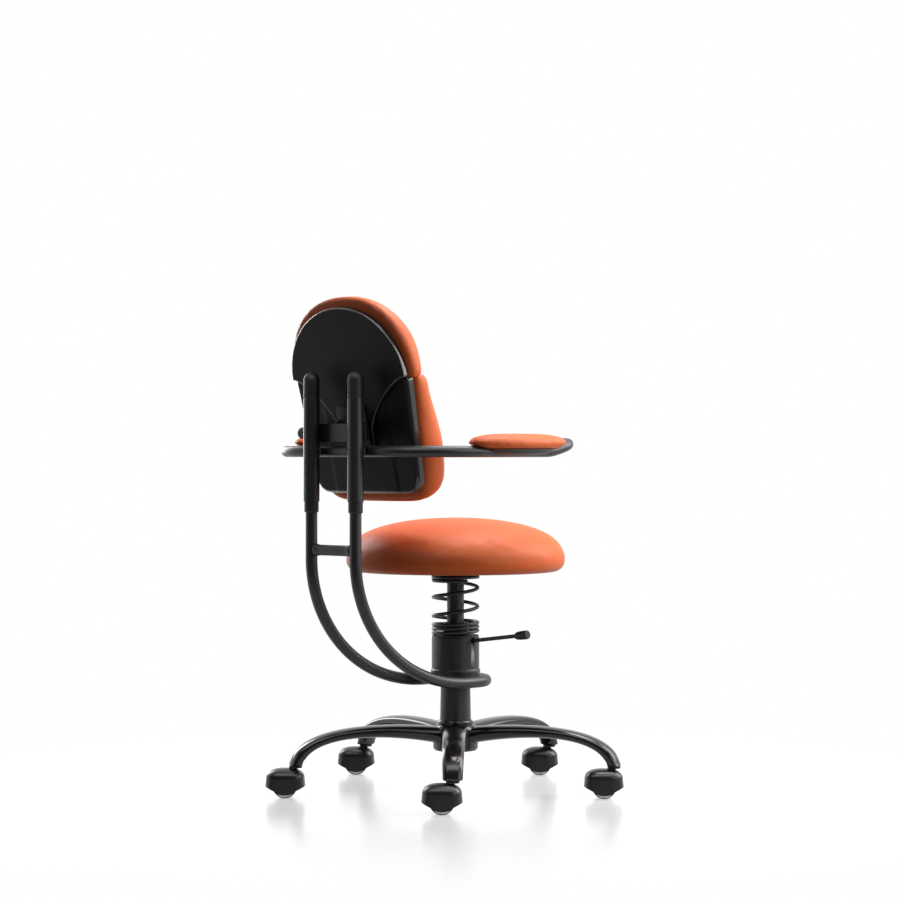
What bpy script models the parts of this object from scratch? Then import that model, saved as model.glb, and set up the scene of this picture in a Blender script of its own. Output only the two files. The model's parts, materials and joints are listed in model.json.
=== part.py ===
"""Office chair: a sprung round seat on a five-legged base, with a back rest and arms carried by a bent hoop.

Metres, +Z up, the sitter faces -Y. Everything is drawn about the column axis with the floor at z = 0.
The last step shifts the whole chair so that the middle of its outline on the floor is the origin.
"""
import math

import bmesh
import bpy
from mathutils import Matrix, Vector

# Fits
GAP = 0.0003
RUNNING_GAP = 0.0005

# Wheels and casters
WHEEL_RADIUS = 0.023
WHEEL_WIDTH = 0.016
WHEEL_EDGE = 0.0025
AXLE_RADIUS = 0.004
WEB_THICKNESS = 0.009
CASTER_TRAIL = 0.0195
CASTER_HEADING = 43.5
HOOD_LENGTH = 0.070
HOOD_SIDE_ROOM = 0.004
HOOD_ROOF_ROOM = 0.006
HOOD_WALL = 0.004
HOOD_DOME = 0.016
HOOD_END_DROP = 0.002
LOBE_RADIUS = 0.019
STEM_SPIGOT_RADIUS = 0.0035
STEM_PIN_RADIUS = 0.0045
STEM_PIN_LENGTH = 0.012
STEM_FLANGE_RADIUS = 0.008
STEM_FLANGE_HEIGHT = 0.004

# Star base
LEG_COUNT = 5
BASE_RADIUS = 0.317
BASE_TURN = 132.6
LEG_ROOT_HEIGHT = 0.034
LEG_TIP_HEIGHT = 0.026
LEG_DIP = 0.0095
LEG_ROOT_WIDTH = 0.050
LEG_TIP_WIDTH = 0.037
HUB_RADIUS = 0.0435
HUB_HEIGHT = 0.050
HUB_LIFT = 0.018
HUB_SHOULDER = 0.007

# Column and gas lift
COLUMN_RADIUS = 0.0285
COLUMN_FOOT_FLARE = 0.0015
COLUMN_HEIGHT = 0.077
COLUMN_BORE = 0.0225
COLUMN_SPIGOT_WALL = 0.0025
COLUMN_FLOOR = 0.004
TRIM_RING_WIDTH = 0.0035
TRIM_RING_HEIGHT = 0.008
CYLINDER_RADIUS = 0.014
CYLINDER_WALL = 0.0035
CYLINDER_LENGTH = 0.150
ROD_RADIUS = 0.005
ROD_SHOULDER = 0.004
PISTON_HEIGHT = 0.008
BEARING_RADIUS = 0.014
BEARING_HEIGHT = 0.008
CLIP_WIDTH = 0.003
CLIP_HEIGHT = 0.003
BUSH_LENGTH = 0.056
BUSH_FLANGE_HEIGHT = 0.003
LIFT_TRAVEL = 0.110

# Housing and height lever
HOUSING_RADIUS = 0.046
HOUSING_HEIGHT = 0.088
HOUSING_WALL = 0.005
HOUSING_FLOOR = 0.0424
COLLAR_RADIUS = 0.0467
COLLAR_HEIGHT = 0.020
RIM_FLARE = 0.0018
RIM_HEIGHT = 0.005
LEVER_RADIUS = 0.00375
LEVER_REACH = 0.150
LEVER_SLOPE = 7.5
LEVER_ARM = 0.031
LEVER_SWING = 5.0
TRUNNION_RADIUS = 0.0025
BUTTON_RADIUS = 0.004
BUTTON_HEIGHT = 0.0085
BUTTON_TRAVEL = 0.0035
KNOB_RADIUS = 0.0085
KNOB_LENGTH = 0.039

# Seat post, spring and seat
POST_RADIUS = 0.0165
GUIDE_WALL = 0.0072
GUIDE_FLANGE = 0.0037
GUIDE_RISE = 0.0245
GUIDE_DEPTH = 0.0035
SEAT_TRAVEL = 0.022
WIRE_RADIUS = 0.0035
SPRING_RADIUS = 0.0428
SPRING_HEIGHT = 0.1084
SPRING_CLOSE_TURNS = 2.75
SPRING_OPEN_TURNS = 2.2
SPRING_END_TURNS = 0.45
SPRING_CLOSE_PITCH = 0.0077
SPRING_TOP_ANGLE = 165.0
SEAT_PLATE_RADIUS = 0.0465
SEAT_PLATE_HEIGHT = 0.0135
SEAT_RADIUS = 0.2105
SEAT_HEIGHT = 0.1005
SEAT_BELLY = 0.025
SEAT_UNDERCUT = 0.022
BOARD_RADIUS = 0.180
BOARD_HEIGHT = 0.010

# Hoop and uprights
HOOP_TUBE_RADIUS = 0.011
HOOP_LIFT = 0.0045
BACK_REACH = 0.3265
HOOP_STRAIGHT_RISE = 0.244
HOOP_TOP_RISE = 0.486
HOOP_CURVE_UP = 0.130
HOOP_CURVE_BACK = 0.184
HOOP_CURVE_START = 0.020
CROSSBAR_RISE = 0.2595
CROSSBAR_RADIUS = 0.0095
CROSSBAR_FLARE = 0.0025
UPRIGHT_RADIUS = 0.015
UPRIGHT_WALL = 0.002
UPRIGHT_HEADROOM = 0.055
UPRIGHT_LENGTH = 0.192
CAP_HEIGHT = 0.047
CAP_PLUG = 0.017
COLLAR_FLANGE_HEIGHT = 0.020
COLLAR_SLEEVE_LENGTH = 0.045
COLLAR_FLANGE_INSET = 0.0015

# Arms
ARM_TUBE_RADIUS = 0.0105
ARM_RISE = 0.092
ARM_HALF_SPAN = 0.232
ARM_REAR_BEND = 0.1286
ARM_FRONT_BEND = 0.045
ARM_FRONT_REACH = 0.092
ARM_TAIL = 0.010
ARM_LIFT = 0.015
ARM_LIFT_START = 0.002
PAD_LENGTH = 0.243
PAD_WIDTH = 0.085
PAD_BEHIND = 0.079
PAD_THICKNESS = 0.0232
PAD_BASE_THICKNESS = 0.005
PAD_BASE_SINK = 0.0035
PAD_BASE_INSET = 0.004
PAD_FLAT_SHARE = 0.7

# Back rest pivot
AXLE_RISE = 0.127
AXLE_FORWARD = 0.0315
PIVOT_RADIUS = 0.005
EAR_RADIUS = 0.010
EAR_THICKNESS = 0.0045
BRACKET_HALF_WIDTH = 0.038
BRACKET_PLATE = 0.004
BRACKET_DOWN = 0.028
BRACKET_UP = 0.045
CARRIER_PLATE = 0.004
CARRIER_HEIGHT = 0.034
HAND_KNOB_RADIUS = 0.011
HAND_KNOB_LENGTH = 0.024
HAND_KNOB_CLEARANCE = 0.040

# Back rest, in its own leaning frame with the pivot at the origin
RECLINE = 13.0
SHELL_OFFSET = 0.025
SHELL_SPLIT = 0.101
SHELL_TOP = 0.230
SHELL_BOTTOM = -0.124
SHELL_HALF_WIDTH = 0.1475
SHELL_FOOT_HALF_WIDTH = 0.134
SHELL_CORNER = 0.028
ARCH_POWER = 2.0
UPPER_SHELL_THICKNESS = 0.012
TONGUE_THICKNESS = 0.0057
TONGUE_HALF_WIDTH = 0.044
TONGUE_BOTTOM = -0.040
TONGUE_POWER = 1.4
LOWER_SHELL_THICKNESS = 0.018
SHELL_EDGE = 0.007
UPPER_CUSHION_THICKNESS = 0.0455
LOWER_CUSHION_THICKNESS = 0.0785
LOWER_CUSHION_TOP_SHARE = 0.72
CUSHION_TOP_OVERHANG = 0.014
CUSHION_FOOT_OVERHANG = 0.0185
CUSHION_SIDE_OVERHANG = 0.004
CUSHION_SPLIT = 0.003

# Facets
HOOP_BEND_STEPS = 12
ROUND = 20
SMALL_ROUND = 12
WHEEL_ROUND = 16
SEAT_ROUND = 36
TUBE_SIDES = 10

# Heights of the stacked pieces above the floor
HOOD_TOP = 2 * WHEEL_RADIUS + HOOD_ROOF_ROOM + HOOD_WALL
LEG_TIP_Z = HOOD_TOP + STEM_FLANGE_HEIGHT + 2 * GAP
HUB_BOTTOM = LEG_TIP_Z + HUB_LIFT
HUB_TOP = HUB_BOTTOM + HUB_HEIGHT
COLUMN_BOTTOM = HUB_BOTTOM + 0.0015
COLUMN_TOP = HUB_TOP + COLUMN_HEIGHT
BUSH_TOP = COLUMN_TOP + GAP + BUSH_FLANGE_HEIGHT
HOUSING_BOTTOM = BUSH_TOP + GAP
HOUSING_TOP = HOUSING_BOTTOM + HOUSING_HEIGHT
CYLINDER_TOP = HOUSING_BOTTOM + HOUSING_FLOOR - 0.002
CYLINDER_BOTTOM = CYLINDER_TOP - CYLINDER_LENGTH
FLANGE_TOP = HOUSING_TOP + GAP + GUIDE_FLANGE
SPRING_BOTTOM = FLANGE_TOP + GAP
SEAT_PLATE_BOTTOM = SPRING_BOTTOM + SPRING_HEIGHT + GAP
SEAT_BOTTOM = SEAT_PLATE_BOTTOM + SEAT_PLATE_HEIGHT + GAP
HOOP_Z = HOUSING_BOTTOM + HOOP_LIFT
UPRIGHT_TOP = HOOP_Z + HOOP_TOP_RISE + UPRIGHT_HEADROOM
UPRIGHT_BOTTOM = UPRIGHT_TOP - UPRIGHT_LENGTH
ARM_Z = UPRIGHT_BOTTOM + ARM_RISE
AXLE_Z = UPRIGHT_BOTTOM + AXLE_RISE
AXLE_Y = BACK_REACH - AXLE_FORWARD
HOOP_HALF_SPAN = (COLLAR_RADIUS + GAP + HOOP_TUBE_RADIUS) / math.cos(math.pi / (2 * HOOP_BEND_STEPS))
SPIGOT_RADIUS = COLUMN_BORE + COLUMN_SPIGOT_WALL
CAVITY_RADIUS = HOUSING_RADIUS - HOUSING_WALL
PAD_BASE_Z = ARM_Z + ARM_TUBE_RADIUS - PAD_BASE_SINK
PAD_Z = PAD_BASE_Z + PAD_BASE_THICKNESS + GAP


def clear_scene():
    """Removes whatever objects the scene holds."""
    for item in list(bpy.data.objects):
        bpy.data.objects.remove(item, do_unlink=True)


def finish(name, colour, roughness, metallic):
    """One plain surface finish."""
    material = bpy.data.materials.new(name)
    material.use_nodes = True
    shader = material.node_tree.nodes["Principled BSDF"]
    shader.inputs["Base Color"].default_value = (*colour, 1.0)
    shader.inputs["Roughness"].default_value = roughness
    shader.inputs["Metallic"].default_value = metallic
    return material


def empty(name, parent, location=(0, 0, 0), turn=(0, 0, 0)):
    """An axis or frame that pieces hang on."""
    frame = bpy.data.objects.new(name, None)
    bpy.context.scene.collection.objects.link(frame)
    frame.parent = parent
    frame.location = location
    frame.rotation_euler = turn
    return frame


def add_piece(name, mesh, material, parent, location=(0, 0, 0), turn=(0, 0, 0)):
    """Puts one named piece into the scene."""
    piece = bpy.data.objects.new(name, mesh)
    bpy.context.scene.collection.objects.link(piece)
    piece.parent = parent
    piece.location = location
    piece.rotation_euler = turn
    if not mesh.materials:
        mesh.materials.append(material)
    return piece


def mesh_from(work, sharp_angle=40):
    """Turns a bmesh into a mesh with its faces outward and its round parts smooth."""
    bmesh.ops.recalc_face_normals(work, faces=work.faces)
    mesh = bpy.data.meshes.new("shape")
    work.to_mesh(mesh)
    work.free()
    mesh.shade_smooth()
    mesh.set_sharp_from_angle(angle=math.radians(sharp_angle))
    return mesh


def loft(rings, sharp_angle=40):
    """Skins equal rings of points in order and caps both ends."""
    work = bmesh.new()
    rows = [[work.verts.new(point) for point in ring] for ring in rings]
    count = len(rows[0])
    for lower, upper in zip(rows, rows[1:]):
        for k in range(count):
            after = (k + 1) % count
            work.faces.new((lower[k], lower[after], upper[after], upper[k]))
    work.faces.new(rows[0])
    work.faces.new(rows[-1])
    return mesh_from(work, sharp_angle)


def circle(radius, z, segments):
    """A level ring of points about the Z axis."""
    steps = [2 * math.pi * k / segments for k in range(segments)]
    return [Vector((radius * math.cos(a), radius * math.sin(a), z)) for a in steps]


def turned(profile, segments=ROUND, closed=False):
    """Turns a profile of (radius, z) points about the Z axis; a closed profile makes a ring with a bore."""
    work = bmesh.new()
    rows = []
    for radius, z in profile:
        if radius == 0:
            rows.append([work.verts.new((0, 0, z))])
        else:
            rows.append([work.verts.new(point) for point in circle(radius, z, segments)])
    pairs = list(zip(rows, rows[1:]))
    if closed:
        pairs.append((rows[-1], rows[0]))
    for one, other in pairs:
        skin_between(work, one, other, segments)
    if not closed:
        for row in (rows[0], rows[-1]):
            if len(row) > 1:
                work.faces.new(row)
    return mesh_from(work)


def skin_between(work, one, other, segments):
    """Faces between two turned rows, either of which may be a single point on the axis."""
    for k in range(segments):
        after = (k + 1) % segments
        corners = [one[k % len(one)], one[after % len(one)], other[after % len(other)], other[k % len(other)]]
        unique = list(dict.fromkeys(corners))
        work.faces.new(unique)


def rounded(points, radii, steps, closed=False):
    """A path through corner points in which each corner with a radius becomes an arc."""
    count = len(points)
    path = []
    for k, corner in enumerate(points):
        inner = closed or 0 < k < count - 1
        if not inner or radii[k] == 0:
            path.append(corner.copy())
            continue
        to_last = (points[k - 1] - corner).normalized()
        to_next = (points[(k + 1) % count] - corner).normalized()
        half = to_last.angle(to_next) / 2
        middle = corner + (to_last + to_next).normalized() * radii[k] / math.sin(half)
        first = corner + to_last * radii[k] / math.tan(half) - middle
        axis = first.cross(corner + to_next * radii[k] / math.tan(half) - middle).normalized()
        sweep = math.pi - 2 * half
        for step in range(steps + 1):
            path.append(middle + Matrix.Rotation(sweep * step / steps, 3, axis) @ first)
    return path


def bezier(start, pull_start, pull_end, end, steps):
    """Points along a cubic curve, both ends included."""
    points = []
    for k in range(steps + 1):
        t = k / steps
        s = 1 - t
        points.append(s ** 3 * start + 3 * s * s * t * pull_start + 3 * s * t * t * pull_end + t ** 3 * end)
    return points


def tube(path, radius, sides=TUBE_SIDES):
    """A round tube along a path, its rings carried along without twist."""
    tangents = []
    for k in range(len(path)):
        ahead = path[min(k + 1, len(path) - 1)] - path[k]
        behind = path[k] - path[max(k - 1, 0)]
        tangents.append((ahead.normalized() + behind.normalized()).normalized())
    side = tangents[0].orthogonal().normalized()
    rings = []
    for k, point in enumerate(path):
        if k > 0:
            side.rotate(tangents[k - 1].rotation_difference(tangents[k]))
        side = (side - tangents[k] * side.dot(tangents[k])).normalized()
        across = tangents[k].cross(side)
        turns = [2 * math.pi * (n + 0.5) / sides for n in range(sides)]
        rings.append([point + (side * math.cos(a) + across * math.sin(a)) * radius for a in turns])
    return loft(rings)


def box(low, high):
    """A block between two corners."""
    work = bmesh.new()
    bmesh.ops.create_cube(work, size=1.0)
    for vertex in work.verts:
        vertex.co = [low[n] + (vertex.co[n] + 0.5) * (high[n] - low[n]) for n in range(3)]
    return mesh_from(work)


def moved(mesh, matrix):
    """The same mesh after a move or a turn."""
    mesh.transform(matrix)
    return mesh


def combined(mesh, tool, operation):
    """Joins two meshes, or cuts the second out of the first."""
    target = bpy.data.objects.new("target", mesh)
    cutter = bpy.data.objects.new("cutter", tool)
    for item in (target, cutter):
        bpy.context.scene.collection.objects.link(item)
    change = target.modifiers.new("change", "BOOLEAN")
    change.object = cutter
    change.operation = operation
    change.solver = "EXACT"
    graph = bpy.context.evaluated_depsgraph_get()
    result = bpy.data.meshes.new_from_object(target.evaluated_get(graph))
    for item in (target, cutter):
        bpy.data.objects.remove(item, do_unlink=True)
    result.shade_smooth()
    result.set_sharp_from_angle(angle=math.radians(40))
    return result


def power_point(angle, wide, tall, power):
    """A point of a superellipse at an angle."""
    c = math.cos(angle)
    s = math.sin(angle)
    across = math.copysign(abs(c) ** (2 / power), c) * wide
    up = math.copysign(abs(s) ** (2 / power), s) * tall
    return across, up


def smooth_step(share):
    """Rises from 0 to 1 with level ends."""
    held = min(max(share, 0.0), 1.0)
    return held * held * (3 - 2 * held)


def along_x(mesh):
    """Turns a piece made about Z so that it lies along X."""
    return moved(mesh, Matrix.Rotation(math.radians(90), 4, "Y"))


# Casters


def hood_edge(along):
    """Height of the hood's lower edge: level ends that slope to a round lobe about the axle."""
    if abs(along) < LOBE_RADIUS:
        lobe = WHEEL_RADIUS - math.sqrt(LOBE_RADIUS ** 2 - along ** 2)
    else:
        lobe = WHEEL_RADIUS
    share = min(abs(along) / (HOOD_LENGTH / 2), 1.0)
    slope = WHEEL_RADIUS - HOOD_END_DROP - (1 - share) * HOOD_WALL * 2.6
    return min(lobe, slope)


def hood_plan(length, width):
    """Outline of the hood seen from above, denser where the lobe is."""
    shares = (0, 0.26, 0.44, 0.53, 0.75, 0.94)
    right = [-s for s in reversed(shares[1:])] + list(shares)
    outline = [(-length / 2, 0.0)]
    outline += [(s * length / 2, width / 2 * (1 - abs(s) ** 3) ** (1 / 3)) for s in right]
    outline.append((length / 2, 0.0))
    outline += [(s * length / 2, -width / 2 * (1 - abs(s) ** 3) ** (1 / 3)) for s in reversed(right)]
    return outline


def hood_skin(length, width, top, shoulder, levels):
    """Rings of one skin of the hood, from its lower edge up to near its crown."""
    outline = hood_plan(length, width)
    full = HOOD_LENGTH / length
    rings = [[Vector((x, y, hood_edge(x * full))) for x, y in outline]]
    for scale in levels:
        z = shoulder + (top - shoulder) * (1 - scale ** 2.5) ** 0.4
        rings.append([Vector((x * scale, y * scale, z)) for x, y in outline])
    return rings


def hood_width():
    """Width over both wheels, with room and walls."""
    return WEB_THICKNESS + 2 * (RUNNING_GAP + WHEEL_WIDTH + HOOD_SIDE_ROOM + HOOD_WALL)


def caster_hood():
    """Domed hood over both wheels, with the web and axle that carry them; the stem is at x = trail."""
    shoulder = HOOD_TOP - HOOD_DOME
    outer = hood_skin(HOOD_LENGTH, hood_width(), HOOD_TOP, shoulder, (1.0, 0.92, 0.72, 0.35))
    inner_length = HOOD_LENGTH - 2 * HOOD_WALL
    inner_width = hood_width() - 2 * HOOD_WALL
    inner = hood_skin(inner_length, inner_width, HOOD_TOP - HOOD_WALL, shoulder, (1.0, 0.7))
    shell = loft(list(reversed(inner)) + outer)
    web_top = HOOD_TOP - 0.8 * HOOD_WALL
    web_end = CASTER_TRAIL + STEM_SPIGOT_RADIUS + 0.002
    half_web = WEB_THICKNESS / 2
    web_low = (-CASTER_TRAIL, -half_web, WHEEL_RADIUS - LOBE_RADIUS * 0.6)
    web = box(web_low, (web_end, half_web, web_top))
    axle_half = hood_width() / 2 - HOOD_WALL - GAP
    axle = turned([(AXLE_RADIUS, -axle_half), (AXLE_RADIUS, axle_half)], SMALL_ROUND)
    axle = moved(axle, Matrix.Translation((0, 0, WHEEL_RADIUS)) @ Matrix.Rotation(math.radians(90), 4, "X"))
    hole_radius = STEM_SPIGOT_RADIUS + GAP
    hole = turned([(hole_radius, stem_foot() - GAP), (hole_radius, LEG_TIP_Z)], SMALL_ROUND)
    hole = moved(hole, Matrix.Translation((CASTER_TRAIL, 0, 0)))
    body = combined(combined(shell, web, "UNION"), axle, "UNION")
    body = combined(body, hole, "DIFFERENCE")
    return moved(body, Matrix.Translation((-CASTER_TRAIL, 0, 0)))


def stem_foot():
    """Height of the stem's lower end inside the hood."""
    return WHEEL_RADIUS + AXLE_RADIUS + 0.009


def caster_stem():
    """Stem with a flange between hood and leg, and a pin in the leg's socket."""
    flange_low = HOOD_TOP + GAP
    flange_high = flange_low + STEM_FLANGE_HEIGHT
    profile = [(STEM_SPIGOT_RADIUS, stem_foot()), (STEM_SPIGOT_RADIUS, flange_low)]
    profile += [(STEM_FLANGE_RADIUS, flange_low), (STEM_FLANGE_RADIUS, flange_high)]
    profile += [(STEM_PIN_RADIUS, flange_high), (STEM_PIN_RADIUS, flange_high + STEM_PIN_LENGTH)]
    return turned(profile, SMALL_ROUND)


def caster_wheel():
    """One wheel, lying along the axle (Y), with bevelled edges."""
    half = WHEEL_WIDTH / 2
    bore = AXLE_RADIUS + GAP
    rim = WHEEL_RADIUS - WHEEL_EDGE
    profile = [(bore, -half), (rim, -half), (WHEEL_RADIUS, -half + WHEEL_EDGE)]
    profile += [(WHEEL_RADIUS, half - WHEEL_EDGE), (rim, half), (bore, half)]
    return moved(turned(profile, WHEEL_ROUND, closed=True), Matrix.Rotation(math.radians(90), 4, "X"))


def build_casters(chair, black, tread):
    """Five casters that all trail the same way, each on its stem's axis."""
    hood = caster_hood()
    stem = caster_stem()
    wheel = caster_wheel()
    offset = WEB_THICKNESS / 2 + RUNNING_GAP + WHEEL_WIDTH / 2
    heading = (0, 0, math.radians(CASTER_HEADING + 180))
    for number in range(LEG_COUNT):
        angle = math.radians(BASE_TURN + 360 * number / LEG_COUNT)
        place = (BASE_RADIUS * math.cos(angle), BASE_RADIUS * math.sin(angle), 0)
        name = f"caster_{number + 1}"
        axis = empty(f"{name}_axis", chair, place, heading)
        add_piece(f"{name}_hood", hood, black, axis)
        add_piece(f"{name}_stem", stem, black, axis)
        for side, where in (("left", offset), ("right", -offset)):
            add_piece(f"{name}_wheel_{side}", wheel, tread, axis, (-CASTER_TRAIL, where, WHEEL_RADIUS))


# Star base


def leg_rings():
    """Oval sections along one leg, which arches out of the hub and bends down to its tip."""
    middle = HUB_BOTTOM + HUB_HEIGHT * 0.57
    start = Vector((HUB_RADIUS * 0.45, 0, middle))
    pull_start = Vector((BASE_RADIUS * 0.53, 0, middle + 0.024))
    pull_end = Vector((BASE_RADIUS * 0.955, 0, middle + 0.016))
    end = Vector((BASE_RADIUS, 0, LEG_TIP_Z))
    steps = 8
    path = bezier(start, pull_start, pull_end, end, steps)
    rings = []
    for k, point in enumerate(path):
        t = k / steps
        height = LEG_ROOT_HEIGHT + (LEG_TIP_HEIGHT - LEG_ROOT_HEIGHT) * t - LEG_DIP * 4 * t * (1 - t)
        width = LEG_ROOT_WIDTH + (LEG_TIP_WIDTH - LEG_ROOT_WIDTH) * t
        ahead = (path[min(k + 1, steps)] - path[max(k - 1, 0)]).normalized()
        up = Vector((-ahead.z, 0, ahead.x))
        ring = []
        for n in range(TUBE_SIDES):
            across, rise = power_point(2 * math.pi * (n + 0.5) / TUBE_SIDES, width / 2, height / 2, 2.5)
            ring.append(point + up * rise + Vector((0, across, 0)))
        rings.append(ring)
    for point in rings[-1]:
        point.z = LEG_TIP_Z
    return rings


def star_base():
    """Hub and five legs in one, bored for the column and for the caster stems."""
    top = HUB_RADIUS - HUB_SHOULDER
    profile = [(HUB_RADIUS * 0.9, HUB_BOTTOM), (HUB_RADIUS, HUB_BOTTOM + 0.004)]
    profile += [(HUB_RADIUS, HUB_TOP - HUB_SHOULDER), (HUB_RADIUS - HUB_SHOULDER * 0.3, HUB_TOP - HUB_SHOULDER * 0.3)]
    profile += [(top, HUB_TOP)]
    body = turned(profile, 24)
    socket = STEM_PIN_RADIUS + GAP
    depth = STEM_PIN_LENGTH + GAP
    for number in range(LEG_COUNT):
        turn = Matrix.Rotation(2 * math.pi * number / LEG_COUNT, 4, "Z")
        body = combined(body, moved(loft(leg_rings(), sharp_angle=50), turn), "UNION")
    for number in range(LEG_COUNT):
        turn = Matrix.Rotation(2 * math.pi * number / LEG_COUNT, 4, "Z")
        hole = turned([(socket, LEG_TIP_Z - 0.005), (socket, LEG_TIP_Z + depth)], SMALL_ROUND)
        hole = moved(hole, turn @ Matrix.Translation((BASE_RADIUS, 0, 0)))
        body = combined(body, hole, "DIFFERENCE")
    bore = SPIGOT_RADIUS + GAP
    through = turned([(bore, HUB_BOTTOM - 0.02), (bore, HUB_TOP + 0.02)], ROUND)
    return combined(body, through, "DIFFERENCE")


# Column and gas lift


def column_tube():
    """Column tube with a spigot in the hub, a flared foot and a floor that the rod is held on."""
    foot = COLUMN_RADIUS + COLUMN_FOOT_FLARE
    hole = ROD_RADIUS + GAP
    profile = [(hole, COLUMN_BOTTOM), (SPIGOT_RADIUS, COLUMN_BOTTOM), (SPIGOT_RADIUS, HUB_TOP + GAP)]
    profile += [(foot, HUB_TOP + GAP), (COLUMN_RADIUS, COLUMN_TOP), (COLUMN_BORE, COLUMN_TOP)]
    profile += [(COLUMN_BORE, COLUMN_BOTTOM + COLUMN_FLOOR), (hole, COLUMN_BOTTOM + COLUMN_FLOOR)]
    return turned(profile, ROUND, closed=True)


def column_trim_ring():
    """Ring that covers the joint between column and hub."""
    inner = COLUMN_RADIUS + COLUMN_FOOT_FLARE + GAP
    outer = inner + TRIM_RING_WIDTH
    low = HUB_TOP + GAP
    high = low + TRIM_RING_HEIGHT
    profile = [(inner, low), (outer, low), (outer, high - 0.0025), (outer - 0.0015, high), (inner, high)]
    return turned(profile, ROUND, closed=True)


def guide_bush():
    """Flanged bush that guides the gas cylinder in the column."""
    inner = CYLINDER_RADIUS + GAP
    outer = COLUMN_BORE - GAP
    flange = COLUMN_RADIUS - 0.001
    profile = [(inner, BUSH_TOP - BUSH_LENGTH), (outer, BUSH_TOP - BUSH_LENGTH), (outer, COLUMN_TOP + GAP)]
    profile += [(flange, COLUMN_TOP + GAP), (flange, BUSH_TOP), (inner, BUSH_TOP)]
    return turned(profile, ROUND, closed=True)


def thrust_bearing():
    """Ring that the rod's shoulder turns on, on the floor of the column."""
    low = COLUMN_BOTTOM + COLUMN_FLOOR + GAP
    inner = ROD_RADIUS + GAP
    profile = [(inner, low), (BEARING_RADIUS, low), (BEARING_RADIUS, low + BEARING_HEIGHT)]
    profile += [(inner, low + BEARING_HEIGHT)]
    return turned(profile, SMALL_ROUND, closed=True)


def bore_radius():
    """Inside radius of the gas cylinder."""
    return CYLINDER_RADIUS - CYLINDER_WALL


def piston_rod():
    """Rod with a shoulder on the bearing, a clip groove below the floor and a piston inside the cylinder."""
    shoulder = COLUMN_BOTTOM + COLUMN_FLOOR + 2 * GAP + BEARING_HEIGHT
    end = COLUMN_BOTTOM - CLIP_HEIGHT - 0.004
    groove_top = COLUMN_BOTTOM - GAP
    groove_low = groove_top - CLIP_HEIGHT - GAP
    groove = ROD_RADIUS - 0.0015
    collar = ROD_RADIUS + ROD_SHOULDER
    piston_low = cavity_top() - PISTON_HEIGHT - 0.004
    piston = bore_radius() - GAP
    profile = [(ROD_RADIUS, end), (ROD_RADIUS, groove_low), (groove, groove_low), (groove, groove_top)]
    profile += [(ROD_RADIUS, groove_top), (ROD_RADIUS, shoulder), (collar, shoulder)]
    profile += [(collar, shoulder + ROD_SHOULDER), (ROD_RADIUS, shoulder + ROD_SHOULDER)]
    profile += [(ROD_RADIUS, piston_low), (piston, piston_low), (piston, piston_low + PISTON_HEIGHT)]
    return turned(profile, SMALL_ROUND)


def rod_clip():
    """Ring in the groove at the rod's lower end."""
    inner = ROD_RADIUS - 0.0015 + GAP
    high = COLUMN_BOTTOM - GAP
    outer = ROD_RADIUS + CLIP_WIDTH
    profile = [(inner, high - CLIP_HEIGHT), (outer, high - CLIP_HEIGHT), (outer, high), (inner, high)]
    return turned(profile, SMALL_ROUND, closed=True)


def button_well():
    """Height of the floor of the valve button's well."""
    return CYLINDER_TOP - 2 * BUTTON_TRAVEL - 0.001


def cavity_top():
    """Height of the inside end of the gas cylinder."""
    return button_well() - 0.006


def gas_cylinder():
    """Cylinder with the rod's neck at its foot and a well for the valve button in its head."""
    neck = ROD_RADIUS + GAP
    well = BUTTON_RADIUS + GAP
    low = CYLINDER_BOTTOM
    profile = [(0, button_well()), (well, button_well()), (well, CYLINDER_TOP)]
    profile += [(CYLINDER_RADIUS - 0.001, CYLINDER_TOP), (CYLINDER_RADIUS, CYLINDER_TOP - 0.001)]
    profile += [(CYLINDER_RADIUS, low + 0.001), (CYLINDER_RADIUS - 0.001, low), (neck, low)]
    profile += [(neck, low + CYLINDER_WALL), (bore_radius(), low + CYLINDER_WALL)]
    profile += [(bore_radius(), cavity_top()), (0, cavity_top())]
    return turned(profile, SMALL_ROUND + 4)


# Housing and height lever


def lever_pivot():
    """Where the height lever turns, inside the housing's wall."""
    drop = LEVER_RADIUS + (HOUSING_RADIUS - LEVER_ARM) * math.tan(math.radians(LEVER_SLOPE + LEVER_SWING))
    return Vector((-LEVER_ARM, 0, HOUSING_TOP - drop - 0.0003))


def trunnion_half():
    """Half length of the lever's cross pin, which ends in notches of the housing's wall."""
    return math.sqrt(CAVITY_RADIUS ** 2 - LEVER_ARM ** 2) + 0.0022


def column_housing():
    """Cup that takes the cylinder's head, with a collar for the hoop and a notch for the lever."""
    collar_top = HOUSING_BOTTOM + COLLAR_HEIGHT
    rim = HOUSING_RADIUS + RIM_FLARE
    bore = CYLINDER_RADIUS + GAP
    floor = HOUSING_BOTTOM + HOUSING_FLOOR
    profile = [(HOUSING_RADIUS, HOUSING_TOP), (HOUSING_RADIUS, collar_top + RIM_HEIGHT + 0.002)]
    profile += [(rim, collar_top + RIM_HEIGHT), (rim, collar_top), (COLLAR_RADIUS, collar_top)]
    profile += [(COLLAR_RADIUS, HOUSING_BOTTOM), (bore, HOUSING_BOTTOM), (bore, floor)]
    profile += [(CAVITY_RADIUS, floor), (CAVITY_RADIUS, HOUSING_TOP)]
    body = turned(profile, 30, closed=True)
    pivot = lever_pivot()
    above = HOUSING_TOP + 0.01
    half = LEVER_RADIUS + 0.001
    slot_low = (-HOUSING_RADIUS - 0.01, -half, pivot.z - LEVER_RADIUS - 0.0006)
    slot = box(slot_low, (-CAVITY_RADIUS + 0.004, half, above))
    room = TRUNNION_RADIUS + GAP
    reach = trunnion_half() + GAP
    notch = box((pivot.x - room, -reach, pivot.z - room), (pivot.x + room, reach, above))
    body = combined(body, slot, "DIFFERENCE")
    return combined(body, notch, "DIFFERENCE")


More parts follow.
